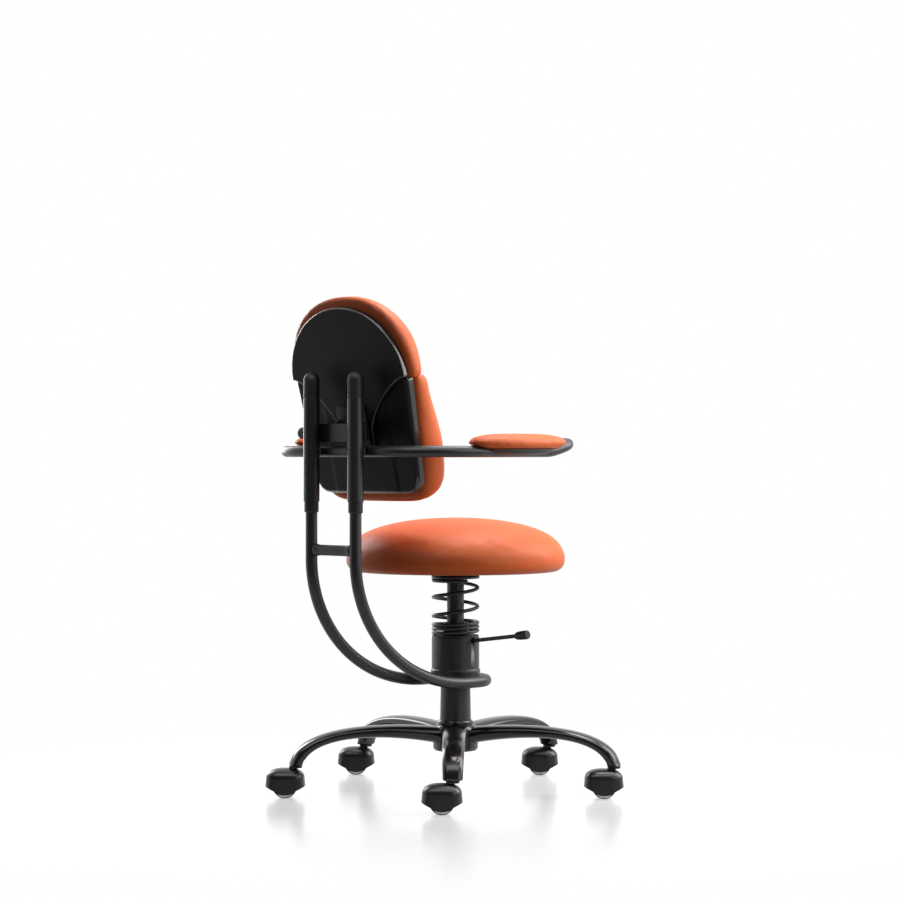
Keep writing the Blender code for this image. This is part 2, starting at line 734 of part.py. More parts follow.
def lever_foot_z():
    """Height of the lever's inner end, just above the valve button."""
    return CYLINDER_TOP + BUTTON_HEIGHT - BUTTON_TRAVEL + RUNNING_GAP + LEVER_RADIUS


def height_lever():
    """Bent rod: from the knob in through the wall, down inside it and across to the valve button."""
    pivot = lever_pivot()
    slope = math.tan(math.radians(LEVER_SLOPE))
    foot = lever_foot_z() - pivot.z
    corners = [Vector((-LEVER_REACH, 0, LEVER_REACH * slope)), Vector((0, 0, 0)), Vector((0, 0, foot))]
    corners.append(Vector((LEVER_ARM + 0.002, 0, foot)))
    path = rounded(corners, [0, 0.006, 0.006, 0], 4)
    rod = tube(path, LEVER_RADIUS, 8)
    pin = turned([(TRUNNION_RADIUS, -trunnion_half()), (TRUNNION_RADIUS, trunnion_half())], SMALL_ROUND)
    pin = moved(pin, Matrix.Rotation(math.radians(90), 4, "X"))
    lug = box((-0.004, -0.0035, -0.0035), (0.0045, 0.0035, 0.0025))
    return combined(combined(rod, lug, "UNION"), pin, "UNION")


def lever_knob():
    """Long knob with a blind hole for the rod's end, made about Z with its mouth at z = 0."""
    hole = LEVER_RADIUS + GAP
    depth = KNOB_LENGTH * 0.6
    r = KNOB_RADIUS
    profile = [(0, depth), (hole, depth), (hole, 0), (r * 0.8, 0), (r, KNOB_LENGTH * 0.12)]
    profile += [(r * 0.92, KNOB_LENGTH * 0.75), (r * 0.7, KNOB_LENGTH * 0.95), (0, KNOB_LENGTH)]
    return turned(profile, SMALL_ROUND)


def valve_button():
    """Pin in the cylinder's head that the lever presses."""
    low = CYLINDER_TOP - BUTTON_TRAVEL
    return turned([(BUTTON_RADIUS, low), (BUTTON_RADIUS, low + BUTTON_HEIGHT)], SMALL_ROUND)


# Seat post, spring and seat


def post_guide():
    """Flanged bush on the housing: it closes the cup, guides the post and carries the spring."""
    inner = POST_RADIUS + GAP
    outer = inner + GUIDE_WALL
    low = HOUSING_TOP + GAP - GUIDE_DEPTH
    flange = HOUSING_RADIUS - 0.001
    profile = [(inner, low), (outer, low), (outer, HOUSING_TOP + GAP), (flange, HOUSING_TOP + GAP)]
    profile += [(flange, FLANGE_TOP), (outer, FLANGE_TOP), (outer - 0.002, FLANGE_TOP + GUIDE_RISE)]
    profile += [(inner, FLANGE_TOP + GUIDE_RISE)]
    return turned(profile, ROUND, closed=True)


def clip_top():
    """Height of the top of the clip that stops the post from rising."""
    return HOUSING_TOP - GUIDE_DEPTH


def seat_post():
    """Post from the seat plate down through the guide, with a groove for its clip."""
    groove = POST_RADIUS - 0.002
    low = clip_top() - CLIP_HEIGHT - GAP
    profile = [(POST_RADIUS, low - 0.0025), (POST_RADIUS, low), (groove, low), (groove, clip_top() + GAP)]
    profile += [(POST_RADIUS, clip_top() + GAP), (POST_RADIUS, SEAT_PLATE_BOTTOM - GAP)]
    return turned(profile, ROUND)


def post_clip():
    """Ring in the post's groove."""
    inner = POST_RADIUS - 0.002 + GAP
    outer = POST_RADIUS + CLIP_WIDTH
    low = clip_top() - CLIP_HEIGHT
    profile = [(inner, low), (outer, low), (outer, clip_top()), (inner, clip_top())]
    return turned(profile, ROUND, closed=True)


def spring_path():
    """Right-handed coil: close turns at its foot, open turns above and a flat end under the seat plate."""
    turns = SPRING_CLOSE_TURNS + SPRING_OPEN_TURNS + SPRING_END_TURNS
    low = SPRING_BOTTOM + WIRE_RADIUS
    high = SPRING_BOTTOM + SPRING_HEIGHT - WIRE_RADIUS
    open_foot = low + SPRING_CLOSE_PITCH * SPRING_CLOSE_TURNS
    per_turn = 10
    count = round(turns * per_turn)
    path = []
    for k in range(count + 1):
        done = turns * k / count
        share = (done - SPRING_CLOSE_TURNS) / SPRING_OPEN_TURNS
        if share <= 0:
            z = low + SPRING_CLOSE_PITCH * done
        else:
            z = open_foot + (high - open_foot) * min(share, 1.0)
        angle = math.radians(SPRING_TOP_ANGLE) + 2 * math.pi * (done - turns)
        path.append(Vector((SPRING_RADIUS * math.cos(angle), SPRING_RADIUS * math.sin(angle), z)))
    return path


def seat_spring():
    """The coil as one unbroken wire; prints its least gap to itself."""
    path = spring_path()
    near = 5
    least = min((path[i] - path[j]).length for i in range(len(path)) for j in range(i + near, len(path)))
    print(f"seat_spring least gap to itself {1000 * (least - 2 * WIRE_RADIUS):.2f} mm")
    return tube(path, WIRE_RADIUS, 6)


def seat_plate():
    """Flanged plate between post and seat board, with the spring under its rim."""
    low = SEAT_PLATE_BOTTOM
    high = low + SEAT_PLATE_HEIGHT
    profile = [(SEAT_PLATE_RADIUS, low), (SEAT_PLATE_RADIUS, low + 0.005)]
    profile += [(SEAT_PLATE_RADIUS * 0.75, low + 0.008), (SEAT_PLATE_RADIUS * 0.75, high)]
    return turned(profile, ROUND)


def seat_board():
    """Board let into the underside of the seat cushion."""
    return turned([(BOARD_RADIUS, SEAT_BOTTOM), (BOARD_RADIUS, SEAT_BOTTOM + BOARD_HEIGHT)], SEAT_ROUND)


def seat_cushion():
    """Domed round cushion: broad crown, belly low down, drawn in under its edge, recess for the board."""
    low = SEAT_BOTTOM
    recess = low + BOARD_HEIGHT + GAP
    rise = SEAT_HEIGHT - SEAT_BELLY
    profile = [(0, low + SEAT_HEIGHT)]
    for k in range(1, 9):
        across, up = power_point(math.pi / 2 * (1 - k / 9), SEAT_RADIUS, rise, 2.2)
        profile.append((across, low + SEAT_BELLY + up))
    for k in range(4):
        turn = math.pi / 2 * k / 3
        inward = SEAT_UNDERCUT * (1 - math.cos(turn))
        profile.append((SEAT_RADIUS - inward, low + SEAT_BELLY * (1 - math.sin(turn))))
    profile += [(BOARD_RADIUS + GAP, low), (BOARD_RADIUS + GAP, recess), (0, recess)]
    return turned(profile, SEAT_ROUND)


# Hoop, uprights and arms


def back_hoop():
    """One tube: round the housing's collar, back and up in a long curve, and straight up into the uprights."""
    side = HOOP_HALF_SPAN
    knee = HOOP_Z + HOOP_STRAIGHT_RISE
    start = Vector((side, BACK_REACH, knee))
    pull_start = Vector((side, BACK_REACH, knee - HOOP_CURVE_UP))
    pull_end = Vector((side, HOOP_CURVE_START + HOOP_CURVE_BACK, HOOP_Z))
    end = Vector((side, HOOP_CURVE_START, HOOP_Z))
    leg = [Vector((side, BACK_REACH, HOOP_Z + HOOP_TOP_RISE))] + bezier(start, pull_start, pull_end, end, 11)
    bend = []
    for k in range(HOOP_BEND_STEPS + 1):
        turn = math.pi * k / HOOP_BEND_STEPS
        bend.append(Vector((side * math.cos(turn), -side * math.sin(turn), HOOP_Z)))
    other = [Vector((-point.x, point.y, point.z)) for point in reversed(leg)]
    return tube(leg + bend + other, HOOP_TUBE_RADIUS)


def hoop_crossbar():
    """Bar between the two tubes, flared at its welds and coped to their round."""
    z = HOOP_Z + CROSSBAR_RISE
    half = HOOP_HALF_SPAN
    flared = CROSSBAR_RADIUS + CROSSBAR_FLARE
    waist = half - HOOP_TUBE_RADIUS - 0.010
    profile = [(flared, -half), (flared, -waist - 0.008), (CROSSBAR_RADIUS, -waist)]
    profile += [(CROSSBAR_RADIUS, waist), (flared, waist + 0.008), (flared, half)]
    bar = moved(along_x(turned(profile, SMALL_ROUND)), Matrix.Translation((0, BACK_REACH, z)))
    for side in (-half, half):
        cope = turned([(HOOP_TUBE_RADIUS + GAP, z - 0.05), (HOOP_TUBE_RADIUS + GAP, z + 0.05)], 24)
        half_step = Matrix.Rotation(math.pi / 24, 4, "Z")
        cope = moved(cope, Matrix.Translation((side, BACK_REACH, 0)) @ half_step)
        bar = combined(bar, cope, "DIFFERENCE")
        outside = box((min(side, side * 2), 0, z - 0.05), (max(side, side * 2), 2 * BACK_REACH, z + 0.05))
        bar = combined(bar, outside, "DIFFERENCE")
    return bar


def upright():
    """Outer tube of the back rest's height slide, about its own axis."""
    inner = UPRIGHT_RADIUS - UPRIGHT_WALL
    profile = [(inner, UPRIGHT_BOTTOM), (UPRIGHT_RADIUS, UPRIGHT_BOTTOM), (UPRIGHT_RADIUS, UPRIGHT_TOP)]
    profile += [(inner, UPRIGHT_TOP)]
    return turned(profile, ROUND, closed=True)


def upright_cap():
    """Domed cap with a plug that fits into the tube's upper end."""
    plug = UPRIGHT_RADIUS - UPRIGHT_WALL - GAP
    low = UPRIGHT_TOP + GAP
    wall_top = low + CAP_HEIGHT - UPRIGHT_RADIUS
    profile = [(plug, low - CAP_PLUG), (plug, low), (UPRIGHT_RADIUS, low)]
    for k in range(5):
        turn = math.pi / 2 * k / 5
        profile.append((UPRIGHT_RADIUS * math.cos(turn), wall_top + UPRIGHT_RADIUS * math.sin(turn)))
    profile.append((0, wall_top + UPRIGHT_RADIUS))
    return turned(profile, ROUND)


def upright_collar():
    """Bush at the tube's lower end that runs on the hoop: a flange below and a sleeve inside."""
    inner = HOOP_TUBE_RADIUS + GAP
    sleeve = UPRIGHT_RADIUS - UPRIGHT_WALL - GAP
    flange = UPRIGHT_RADIUS - COLLAR_FLANGE_INSET
    high = UPRIGHT_BOTTOM - GAP
    low = high - COLLAR_FLANGE_HEIGHT
    profile = [(inner, low), (flange, low), (flange, high), (sleeve, high)]
    profile += [(sleeve, high + COLLAR_SLEEVE_LENGTH), (inner, high + COLLAR_SLEEVE_LENGTH)]
    return turned(profile, ROUND, closed=True)


def arm_path():
    """Line of the arm tube: straight behind the back rest, round to both sides, up and in at the front."""
    rear = BACK_REACH - UPRIGHT_RADIUS - GAP - ARM_TUBE_RADIUS
    tail = ARM_HALF_SPAN - ARM_FRONT_BEND - ARM_TAIL
    halfway = (ARM_LIFT_START + ARM_FRONT_REACH - ARM_FRONT_BEND) / 2
    corners = [(-tail, -ARM_FRONT_REACH), (-ARM_HALF_SPAN, -ARM_FRONT_REACH), (-ARM_HALF_SPAN, -halfway)]
    corners += [(-ARM_HALF_SPAN, -ARM_LIFT_START), (-ARM_HALF_SPAN, rear)]
    corners += [(-x, y) for x, y in reversed(corners)]
    points = [Vector((x, y, ARM_Z)) for x, y in corners]
    bends = [0, ARM_FRONT_BEND, 0, 0, ARM_REAR_BEND]
    path = rounded(points, bends + bends[::-1], 7)
    for point in path:
        share = (-point.y - ARM_LIFT_START) / (ARM_FRONT_REACH - ARM_LIFT_START)
        point.z += ARM_LIFT * smooth_step(share)
    return path


def oval(length, width, count=28):
    """Level oval outline, long in Y."""
    points = []
    for k in range(count):
        across, along = power_point(2 * math.pi * k / count, width / 2, length / 2, 2.15)
        points.append(Vector((across, along, 0)))
    return points


def arm_pad_base(side):
    """Thin base under one pad, grooved for the arm tube."""
    inset = 2 * PAD_BASE_INSET
    outline = oval(PAD_LENGTH * PAD_FLAT_SHARE, PAD_WIDTH - inset)
    small = oval(PAD_LENGTH * PAD_FLAT_SHARE - inset, PAD_WIDTH - 2 * inset)
    centre = Vector((side * ARM_HALF_SPAN, PAD_BEHIND, PAD_BASE_Z))
    top = Vector((0, 0, PAD_BASE_THICKNESS))
    rings = [[centre + point for point in small], [centre + point + top * 0.5 for point in outline]]
    rings.append([centre + point + top for point in outline])
    groove = tube(arm_path(), (ARM_TUBE_RADIUS + GAP) / math.cos(math.pi / TUBE_SIDES))
    return combined(loft(rings), groove, "DIFFERENCE")


def arm_pad(side):
    """Crowned oval pad, drawn in towards its base and more so at its two ends."""
    centre = Vector((side * ARM_HALF_SPAN, PAD_BEHIND, PAD_Z))
    levels = ((0.86, 0.0), (0.955, 0.14), (1.0, 0.36), (0.97, 0.6), (0.86, 0.82), (0.6, 0.96), (0.25, 1.0))
    rings = []
    for scale, rise in levels:
        drawn_in = (0.86 - PAD_FLAT_SHARE) * max(0, 1 - rise / 0.36)
        outline = oval(PAD_LENGTH * (scale - drawn_in), PAD_WIDTH * scale)
        rings.append([centre + point + Vector((0, 0, PAD_THICKNESS * rise)) for point in outline])
    return loft(rings, sharp_angle=60)


# Back rest


def ear(low_x, high_x, foot_y, foot_half):
    """One ear about the pivot (the origin), widening to a foot at a given y."""
    toward = math.copysign(1, foot_y)
    points = [Vector((0, foot_y, -foot_half)), Vector((0, foot_y, foot_half))]
    for k in range(9):
        turn = math.pi * (0.5 - k / 8)
        points.append(Vector((0, -toward * EAR_RADIUS * math.cos(turn), EAR_RADIUS * math.sin(turn))))
    return loft([[Vector((x, point.y, point.z)) for point in points] for x in (low_x, high_x)])


def bored_for_axle(body):
    """Cuts the axle's hole through both ears."""
    half = 2 * BRACKET_HALF_WIDTH
    hole = along_x(turned([(PIVOT_RADIUS + GAP, -half), (PIVOT_RADIUS + GAP, half)], SMALL_ROUND))
    return combined(body, hole, "DIFFERENCE")


def back_carrier():
    """Plate welded across both uprights, with two ears that hold the axle; the pivot is the origin."""
    rear = AXLE_FORWARD - UPRIGHT_RADIUS - GAP
    front = rear - CARRIER_PLATE
    half = CARRIER_HEIGHT / 2
    reach = HOOP_HALF_SPAN + 0.008
    body = box((-reach, front, -half), (reach, rear, half))
    near = BRACKET_HALF_WIDTH + RUNNING_GAP
    far = near + EAR_THICKNESS
    for low, high in ((-far, -near), (near, far)):
        body = combined(body, ear(low, high, front + CARRIER_PLATE / 2, half - 0.003), "UNION")
    return bored_for_axle(body)


def knob_start():
    """Where the hand knob begins along the axle."""
    return HOOP_HALF_SPAN + HAND_KNOB_CLEARANCE


def pivot_axle():
    """Axle through both pairs of ears, with a thin end for the hand knob."""
    head = BRACKET_HALF_WIDTH + RUNNING_GAP + EAR_THICKNESS + GAP
    profile = [(PIVOT_RADIUS + 0.003, -head - 0.004), (PIVOT_RADIUS + 0.003, -head), (PIVOT_RADIUS, -head)]
    profile += [(PIVOT_RADIUS, knob_start() - GAP), (PIVOT_RADIUS * 0.7, knob_start() - GAP)]
    profile += [(PIVOT_RADIUS * 0.7, knob_start() + HAND_KNOB_LENGTH * 0.6)]
    return along_x(turned(profile, SMALL_ROUND))


def back_knob():
    """Round hand knob on the axle's end, made about its own axis."""
    low = knob_start()
    hole = PIVOT_RADIUS * 0.7 + GAP
    depth = low + HAND_KNOB_LENGTH * 0.6 + GAP
    high = low + HAND_KNOB_LENGTH
    r = HAND_KNOB_RADIUS
    profile = [(0, depth), (hole, depth), (hole, low), (r * 0.75, low), (r, low + 0.004)]
    profile += [(r, high - 0.005), (r * 0.8, high - 0.001), (0, high)]
    return along_x(turned(profile, ROUND))


def back_bracket():
    """Plate on the upper shell's tongue with two ears about the axle."""
    front = -SHELL_OFFSET + GAP
    rear = front + BRACKET_PLATE
    wide = BRACKET_HALF_WIDTH - 0.001
    body = box((-wide, front, -BRACKET_DOWN), (wide, rear, BRACKET_UP))
    inner = BRACKET_HALF_WIDTH - EAR_THICKNESS
    for low, high in ((-BRACKET_HALF_WIDTH, -inner), (inner, BRACKET_HALF_WIDTH)):
        body = combined(body, ear(low, high, rear - BRACKET_PLATE / 2, BRACKET_DOWN - 0.006), "UNION")
    return bored_for_axle(body)


def arch(half_width, base, top, count=20):
    """Points of the arched top, from its right foot over to its left foot."""
    points = []
    for k in range(count + 1):
        across, up = power_point(math.pi * k / count, half_width, top - base, ARCH_POWER)
        points.append((across, base + up))
    return points


def plate(outline, rear, front, edge):
    """Plate in the leaning frame between two y planes, its rear edge bevelled."""
    middle_x = sum(x for x, z in outline) / len(outline)
    middle_z = sum(z for x, z in outline) / len(outline)
    reach = max(math.hypot(x - middle_x, z - middle_z) for x, z in outline)
    scale = 1 - edge / reach
    small = [(middle_x + (x - middle_x) * scale, middle_z + (z - middle_z) * scale) for x, z in outline]
    bevel = min(edge, abs(front - rear) * 0.6)
    rings = [[Vector((x, rear, z)) for x, z in small], [Vector((x, rear - bevel, z)) for x, z in outline]]
    rings.append([Vector((x, front, z)) for x, z in outline])
    return loft(rings)


def tongue_side():
    """Right edge of the tongue: a hollow curve from the arch's foot in and down to the tongue."""
    points = []
    drop = SHELL_SPLIT
    for k in range(1, 9):
        share = 1 - k / 8
        inward = (1 - share ** TONGUE_POWER) ** (1 / TONGUE_POWER)
        points.append((SHELL_HALF_WIDTH - (SHELL_HALF_WIDTH - TONGUE_HALF_WIDTH) * inward, drop * share))
    points.append((TONGUE_HALF_WIDTH, TONGUE_BOTTOM + 0.012))
    points.append((TONGUE_HALF_WIDTH - 0.012, TONGUE_BOTTOM))
    return points


def back_upper_shell():
    """Arched shell whose tongue runs down over the lower shell to the bracket."""
    rear = -SHELL_OFFSET
    over = arch(SHELL_HALF_WIDTH, SHELL_SPLIT, SHELL_TOP)
    left = [(-x, z) for x, z in tongue_side()]
    spade = over + left + list(reversed(tongue_side()))
    thin = plate(spade, rear, rear - TONGUE_THICKNESS, 0.0035)
    head = plate(over, rear - TONGUE_THICKNESS * 0.5, rear - UPPER_SHELL_THICKNESS, 0.002)
    return combined(thin, head, "UNION")


def shell_foot():
    """Outline of the lower shell: straight top, tapered sides, round lower corners."""
    corners = [Vector((SHELL_HALF_WIDTH, 0, SHELL_SPLIT - GAP)), Vector((SHELL_FOOT_HALF_WIDTH, 0, SHELL_BOTTOM))]
    corners += [Vector((-point.x, 0, point.z)) for point in reversed(corners)]
    path = rounded(corners, [0.006, SHELL_CORNER, SHELL_CORNER, 0.006], 5, closed=True)
    return [(point.x, point.z) for point in path]


def lower_shell_rear():
    """Rear plane of the lower shell, just in front of the tongue."""
    return -SHELL_OFFSET - TONGUE_THICKNESS - GAP


def back_lower_shell():
    """Broadly bevelled shell behind the lower cushion."""
    rear = lower_shell_rear()
    return plate(shell_foot(), rear, rear - LOWER_SHELL_THICKNESS, SHELL_EDGE)


def pillow(outline, centre, back, thickness, top_share, foot, head):
    """Crowned cushion: its rim is drawn in at the back, bulges and closes in over the crown.

    Rings turn from the outline to an oval as they shrink, so its corners fade out over the crown.
    The thickness grows from top_share of itself at the head to the full value at the foot.
    """
    levels = ((0.95, 0.0), (0.995, 0.12), (1.0, 0.34), (0.985, 0.56), (0.94, 0.75), (0.86, 0.88))
    levels += ((0.7, 0.965), (0.45, 0.995), (0.2, 1.0))
    wide = max(x for x, z in outline)
    tall = (head - foot) / 2
    rings = []
    for scale, depth in levels:
        fade = 1 - scale ** 2
        ring = []
        for x, z in outline:
            turn = math.atan2((z - centre) / tall, x / wide)
            across = scale * (x + (wide * math.cos(turn) - x) * fade)
            rise = scale * (z - centre + (tall * math.sin(turn) - z + centre) * fade)
            share = smooth_step((head - centre - rise) / (head - foot) * 1.6)
            deep = thickness * (top_share + (1 - top_share) * share)
            ring.append(Vector((across, back - deep * depth, centre + rise)))
        rings.append(ring)
    return loft(rings, sharp_angle=70)


def back_upper_cushion():
    """Arched upper cushion."""
    half = SHELL_HALF_WIDTH + CUSHION_SIDE_OVERHANG
    base = SHELL_SPLIT + CUSHION_SPLIT / 2
    top = SHELL_TOP + CUSHION_TOP_OVERHANG
    outline = arch(half, base, top, 24) + [(-half * 0.6, base), (0, base), (half * 0.6, base)]
    back = -SHELL_OFFSET - UPPER_SHELL_THICKNESS - GAP
    return pillow(outline, base + 0.4 * (top - base), back, UPPER_CUSHION_THICKNESS, 0.9, base, top)


def back_lower_cushion():
    """Lower cushion, fullest low down where it holds the small of the back."""
    half = SHELL_HALF_WIDTH + CUSHION_SIDE_OVERHANG
    foot_half = SHELL_FOOT_HALF_WIDTH + CUSHION_SIDE_OVERHANG
    head = SHELL_SPLIT - CUSHION_SPLIT / 2
    foot = SHELL_BOTTOM - CUSHION_FOOT_OVERHANG
    corners = [Vector((half, 0, head)), Vector((foot_half, 0, foot))]
    corners += [Vector((-point.x, 0, point.z)) for point in reversed(corners)]
    corner = SHELL_CORNER + CUSHION_FOOT_OVERHANG
    path = rounded(corners, [0.014, corner, corner, 0.014], 6, closed=True)
    outline = []
    for k, point in enumerate(path):
        after = path[(k + 1) % len(path)]
        outline.append((point.x, point.z))
        if (after - point).length > 0.1:
            outline.append(((2 * point.x + after.x) / 3, (2 * point.z + after.z) / 3))
            outline.append(((point.x + 2 * after.x) / 3, (point.z + 2 * after.z) / 3))
    back = lower_shell_rear() - LOWER_SHELL_THICKNESS - GAP
    middle = (head + foot) / 2
    return pillow(outline, middle, back, LOWER_CUSHION_THICKNESS, LOWER_CUSHION_TOP_SHARE, foot, head)


# Assembly


def build_base(chair, gloss, satin, steel, bronze):
    """Everything that stands still on the floor, and the rod that the upper part turns on."""
    turn = (0, 0, math.radians(BASE_TURN))
    add_piece("star_base", star_base(), gloss, chair, turn=turn)
    add_piece("column_tube", column_tube(), satin, chair)
    add_piece("column_trim_ring", column_trim_ring(), gloss, chair)
    add_piece("guide_bush", guide_bush(), bronze, chair)
    add_piece("thrust_bearing", thrust_bearing(), steel, chair)
    axis = empty("swivel_axis", chair)
    add_piece("piston_rod", piston_rod(), steel, axis)
    add_piece("rod_clip", rod_clip(), steel, axis)
    return axis


def build_housing(axis, satin, gloss, steel, bronze):
    """Gas cylinder, housing and hoop, with the height lever and the button that it presses."""
    add_piece("gas_cylinder", gas_cylinder(), steel, axis)
    add_piece("valve_button", valve_button(), bronze, axis)
    add_piece("column_housing", column_housing(), satin, axis)
    add_piece("post_guide", post_guide(), satin, axis)
    add_piece("back_hoop", back_hoop(), gloss, axis)
    add_piece("hoop_crossbar", hoop_crossbar(), satin, axis)
    lever_axis = empty("lever_axis", axis, lever_pivot())
    add_piece("height_lever", height_lever(), gloss, lever_axis)
    slope = math.radians(LEVER_SLOPE)
    along = KNOB_LENGTH * 0.6 - GAP
    reach = LEVER_REACH / math.cos(slope) - along
    mouth = (-reach * math.cos(slope), 0, reach * math.sin(slope))
    add_piece("lever_knob", lever_knob(), gloss, lever_axis, mouth, (0, -math.radians(90) + slope, 0))


def build_seat(axis, leather, satin, steel, wood):
    """Sprung seat: post, clip, spring, plate, board and cushion, all on the column axis."""
    add_piece("seat_post", seat_post(), satin, axis)
    add_piece("post_clip", post_clip(), steel, axis)
    add_piece("seat_spring", seat_spring(), satin, axis)
    add_piece("seat_plate", seat_plate(), satin, axis)
    add_piece("seat_board", seat_board(), wood, axis)
    add_piece("seat_cushion", seat_cushion(), leather, axis)


def build_back(axis, leather, satin, shell, plastic, steel):
    """Uprights with arms, and the leaning back rest on its axle."""
    tube_mesh = upright()
    cap_mesh = upright_cap()
    collar_mesh = upright_collar()
    for name, side in (("left", 1), ("right", -1)):
        place = (side * HOOP_HALF_SPAN, BACK_REACH, 0)
        add_piece(f"upright_{name}", tube_mesh, satin, axis, place)
        add_piece(f"upright_cap_{name}", cap_mesh, satin, axis, place)
        add_piece(f"upright_collar_{name}", collar_mesh, plastic, axis, place)
        add_piece(f"arm_pad_base_{name}", arm_pad_base(side), plastic, axis)
        add_piece(f"arm_pad_{name}", arm_pad(side), leather, axis)
    add_piece("arm_tube", tube(arm_path(), ARM_TUBE_RADIUS), satin, axis)
    pivot = (0, AXLE_Y, AXLE_Z)
    add_piece("back_carrier", back_carrier(), satin, axis, pivot)
    add_piece("pivot_axle", pivot_axle(), steel, axis, pivot)
    add_piece("back_knob", back_knob(), plastic, axis, pivot)
    lean = empty("back_axis", axis, pivot, (-math.radians(RECLINE), 0, 0))
    add_piece("back_bracket", back_bracket(), satin, lean)
    add_piece("back_upper_shell", back_upper_shell(), shell, lean)
    add_piece("back_lower_shell", back_lower_shell(), shell, lean)
    add_piece("back_upper_cushion", back_upper_cushion(), leather, lean)
    add_piece("back_lower_cushion", back_lower_cushion(), leather, lean)


def centre_on_origin(chair):
    """Shifts the chair so that the middle of its outline on the floor lies at the origin."""
    bpy.context.view_layer.update()
    corners = []
    for piece in bpy.context.scene.objects:
        if piece.type == "MESH":
            corners += [piece.matrix_world @ vertex.co for vertex in piece.data.vertices]
    low = [min(corner[n] for corner in corners) for n in range(3)]
    high = [max(corner[n] for corner in corners) for n in range(3)]
    chair.location = (-(low[0] + high[0]) / 2, -(low[1] + high[1]) / 2, -low[2])
    print("column axis at", [round(value, 6) for value in chair.location])


def main():
    clear_scene()
    gloss = finish("gloss_black", (0.012, 0.012, 0.013), 0.22, 0.0)
    satin = finish("satin_black_steel", (0.02, 0.02, 0.02), 0.42, 0.0)
    shell = finish("black_shell", (0.016, 0.016, 0.016), 0.5, 0.0)
    plastic = finish("black_plastic", (0.014, 0.014, 0.014), 0.45, 0.0)
    tread = finish("grey_tread", (0.32, 0.32, 0.33), 0.6, 0.0)
    leather = finish("orange_leather", (0.78, 0.16, 0.03), 0.4, 0.0)
    steel = finish("bright_steel", (0.55, 0.55, 0.56), 0.3, 1.0)
    bronze = finish("guide_plastic", (0.75, 0.73, 0.66), 0.5, 0.0)
    wood = finish("plywood", (0.5, 0.34, 0.2), 0.7, 0.0)
    chair = empty("chair", None)
    build_casters(chair, gloss, tread)
    axis = build_base(chair, gloss, satin, steel, bronze)
    build_housing(axis, satin, gloss, steel, bronze)
    build_seat(axis, leather, satin, steel, wood)
    build_back(axis, leather, satin, shell, plastic, steel)
    centre_on_origin(chair)


main()
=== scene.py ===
"""Looks of the office chair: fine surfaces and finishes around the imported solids.

All values are metres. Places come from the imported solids, so that each piece sits where its solid is.
"""

import json
import math

import bmesh
import bpy
import mathutils
import numpy as np
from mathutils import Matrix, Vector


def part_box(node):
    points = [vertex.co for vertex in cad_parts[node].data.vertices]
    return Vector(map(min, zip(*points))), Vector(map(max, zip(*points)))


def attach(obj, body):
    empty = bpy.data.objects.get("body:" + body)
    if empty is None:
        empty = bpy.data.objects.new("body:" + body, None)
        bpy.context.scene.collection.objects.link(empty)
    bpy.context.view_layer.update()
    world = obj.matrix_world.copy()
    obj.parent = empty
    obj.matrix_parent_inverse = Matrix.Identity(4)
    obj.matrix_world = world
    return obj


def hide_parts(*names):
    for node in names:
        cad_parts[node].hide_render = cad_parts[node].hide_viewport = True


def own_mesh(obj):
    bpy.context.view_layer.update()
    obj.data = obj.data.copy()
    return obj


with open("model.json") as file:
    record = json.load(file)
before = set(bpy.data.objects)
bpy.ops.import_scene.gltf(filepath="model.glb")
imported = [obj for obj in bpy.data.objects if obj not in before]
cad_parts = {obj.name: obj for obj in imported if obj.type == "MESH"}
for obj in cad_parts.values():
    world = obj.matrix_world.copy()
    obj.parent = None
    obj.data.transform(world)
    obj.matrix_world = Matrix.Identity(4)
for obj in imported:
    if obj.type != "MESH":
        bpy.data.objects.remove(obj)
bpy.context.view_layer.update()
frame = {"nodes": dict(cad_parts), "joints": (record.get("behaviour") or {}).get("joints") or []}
JOINTS = {joint["name"]: joint for joint in frame["joints"]}

# Fineness of the surfaces
AROUND = 96
AROUND_TUBE = 40
AROUND_WIRE = 20
CORNER_STEPS = 5
SHARP_ANGLE = math.radians(38)
UP = np.array([0, 0, 1.0])

# Star base and casters
LEG_COUNT = 5
LEG_ROOT_HEIGHT = 0.034
LEG_TIP_HEIGHT = 0.026
LEG_DIP = 0.0095
LEG_ROOT_WIDTH = 0.050
LEG_TIP_WIDTH = 0.037
LEG_ROOT_LEVEL = 0.57
LEG_LEVEL_FROM = 0.88
LEG_POWER = 0.8
LEG_ROOT_SHARE = 0.45
LEG_ROOT_PULL = 0.53
LEG_ROOT_PULL_UP = 0.024
LEG_TIP_PULL = 0.955
LEG_TIP_PULL_UP = 0.016
LEG_FOOT_SHARE = 0.92
LEG_FOOT_LIFT = 0.0014
HUB_RADIUS = 0.0435
HUB_SHOULDER = 0.007
HUB_UNDERSIDE = 0.018
HUB_CHAMFER = 0.005
WHEEL_RADIUS = 0.023
WHEEL_HALF_WIDTH = 0.008
WHEEL_DISH = 0.0026
WHEEL_BORE = 0.0043
WHEEL_HUB = 0.0105
DISH_INNER = 0.0118
DISH_OUTER = 0.016
WHEEL_RIM = 0.0172
HOOD_LENGTH = 0.0755
HOOD_WIDTH = 0.0625
HOOD_WALL = 0.004
HOOD_DOME = 0.021
HOOD_FLARE = 0.035
HOOD_SLOPE = 0.0178
HOOD_SLOPE_SHARE = 0.44
LOBE_REACH = 0.022
LOBE_DEPTH = 0.0155
LOBE_POWER = 2.6
WEB_HALF_WIDTH = 0.0045
WEB_FRONT = -0.0195
WEB_FOOT = 0.0116
WEB_FOOT_END = 0.012
WEB_STEM_ROOM = 0.0055
WEB_REAR_FOOT = 0.03
# Band on the wheel's face for the painted highlight ring
HIGHLIGHT_RING_INNER = 0.0163
HIGHLIGHT_RING_OUTER = 0.0204
HIGHLIGHT_RING_BLEND = 0.0006
STEM_FLANGE = 0.0125
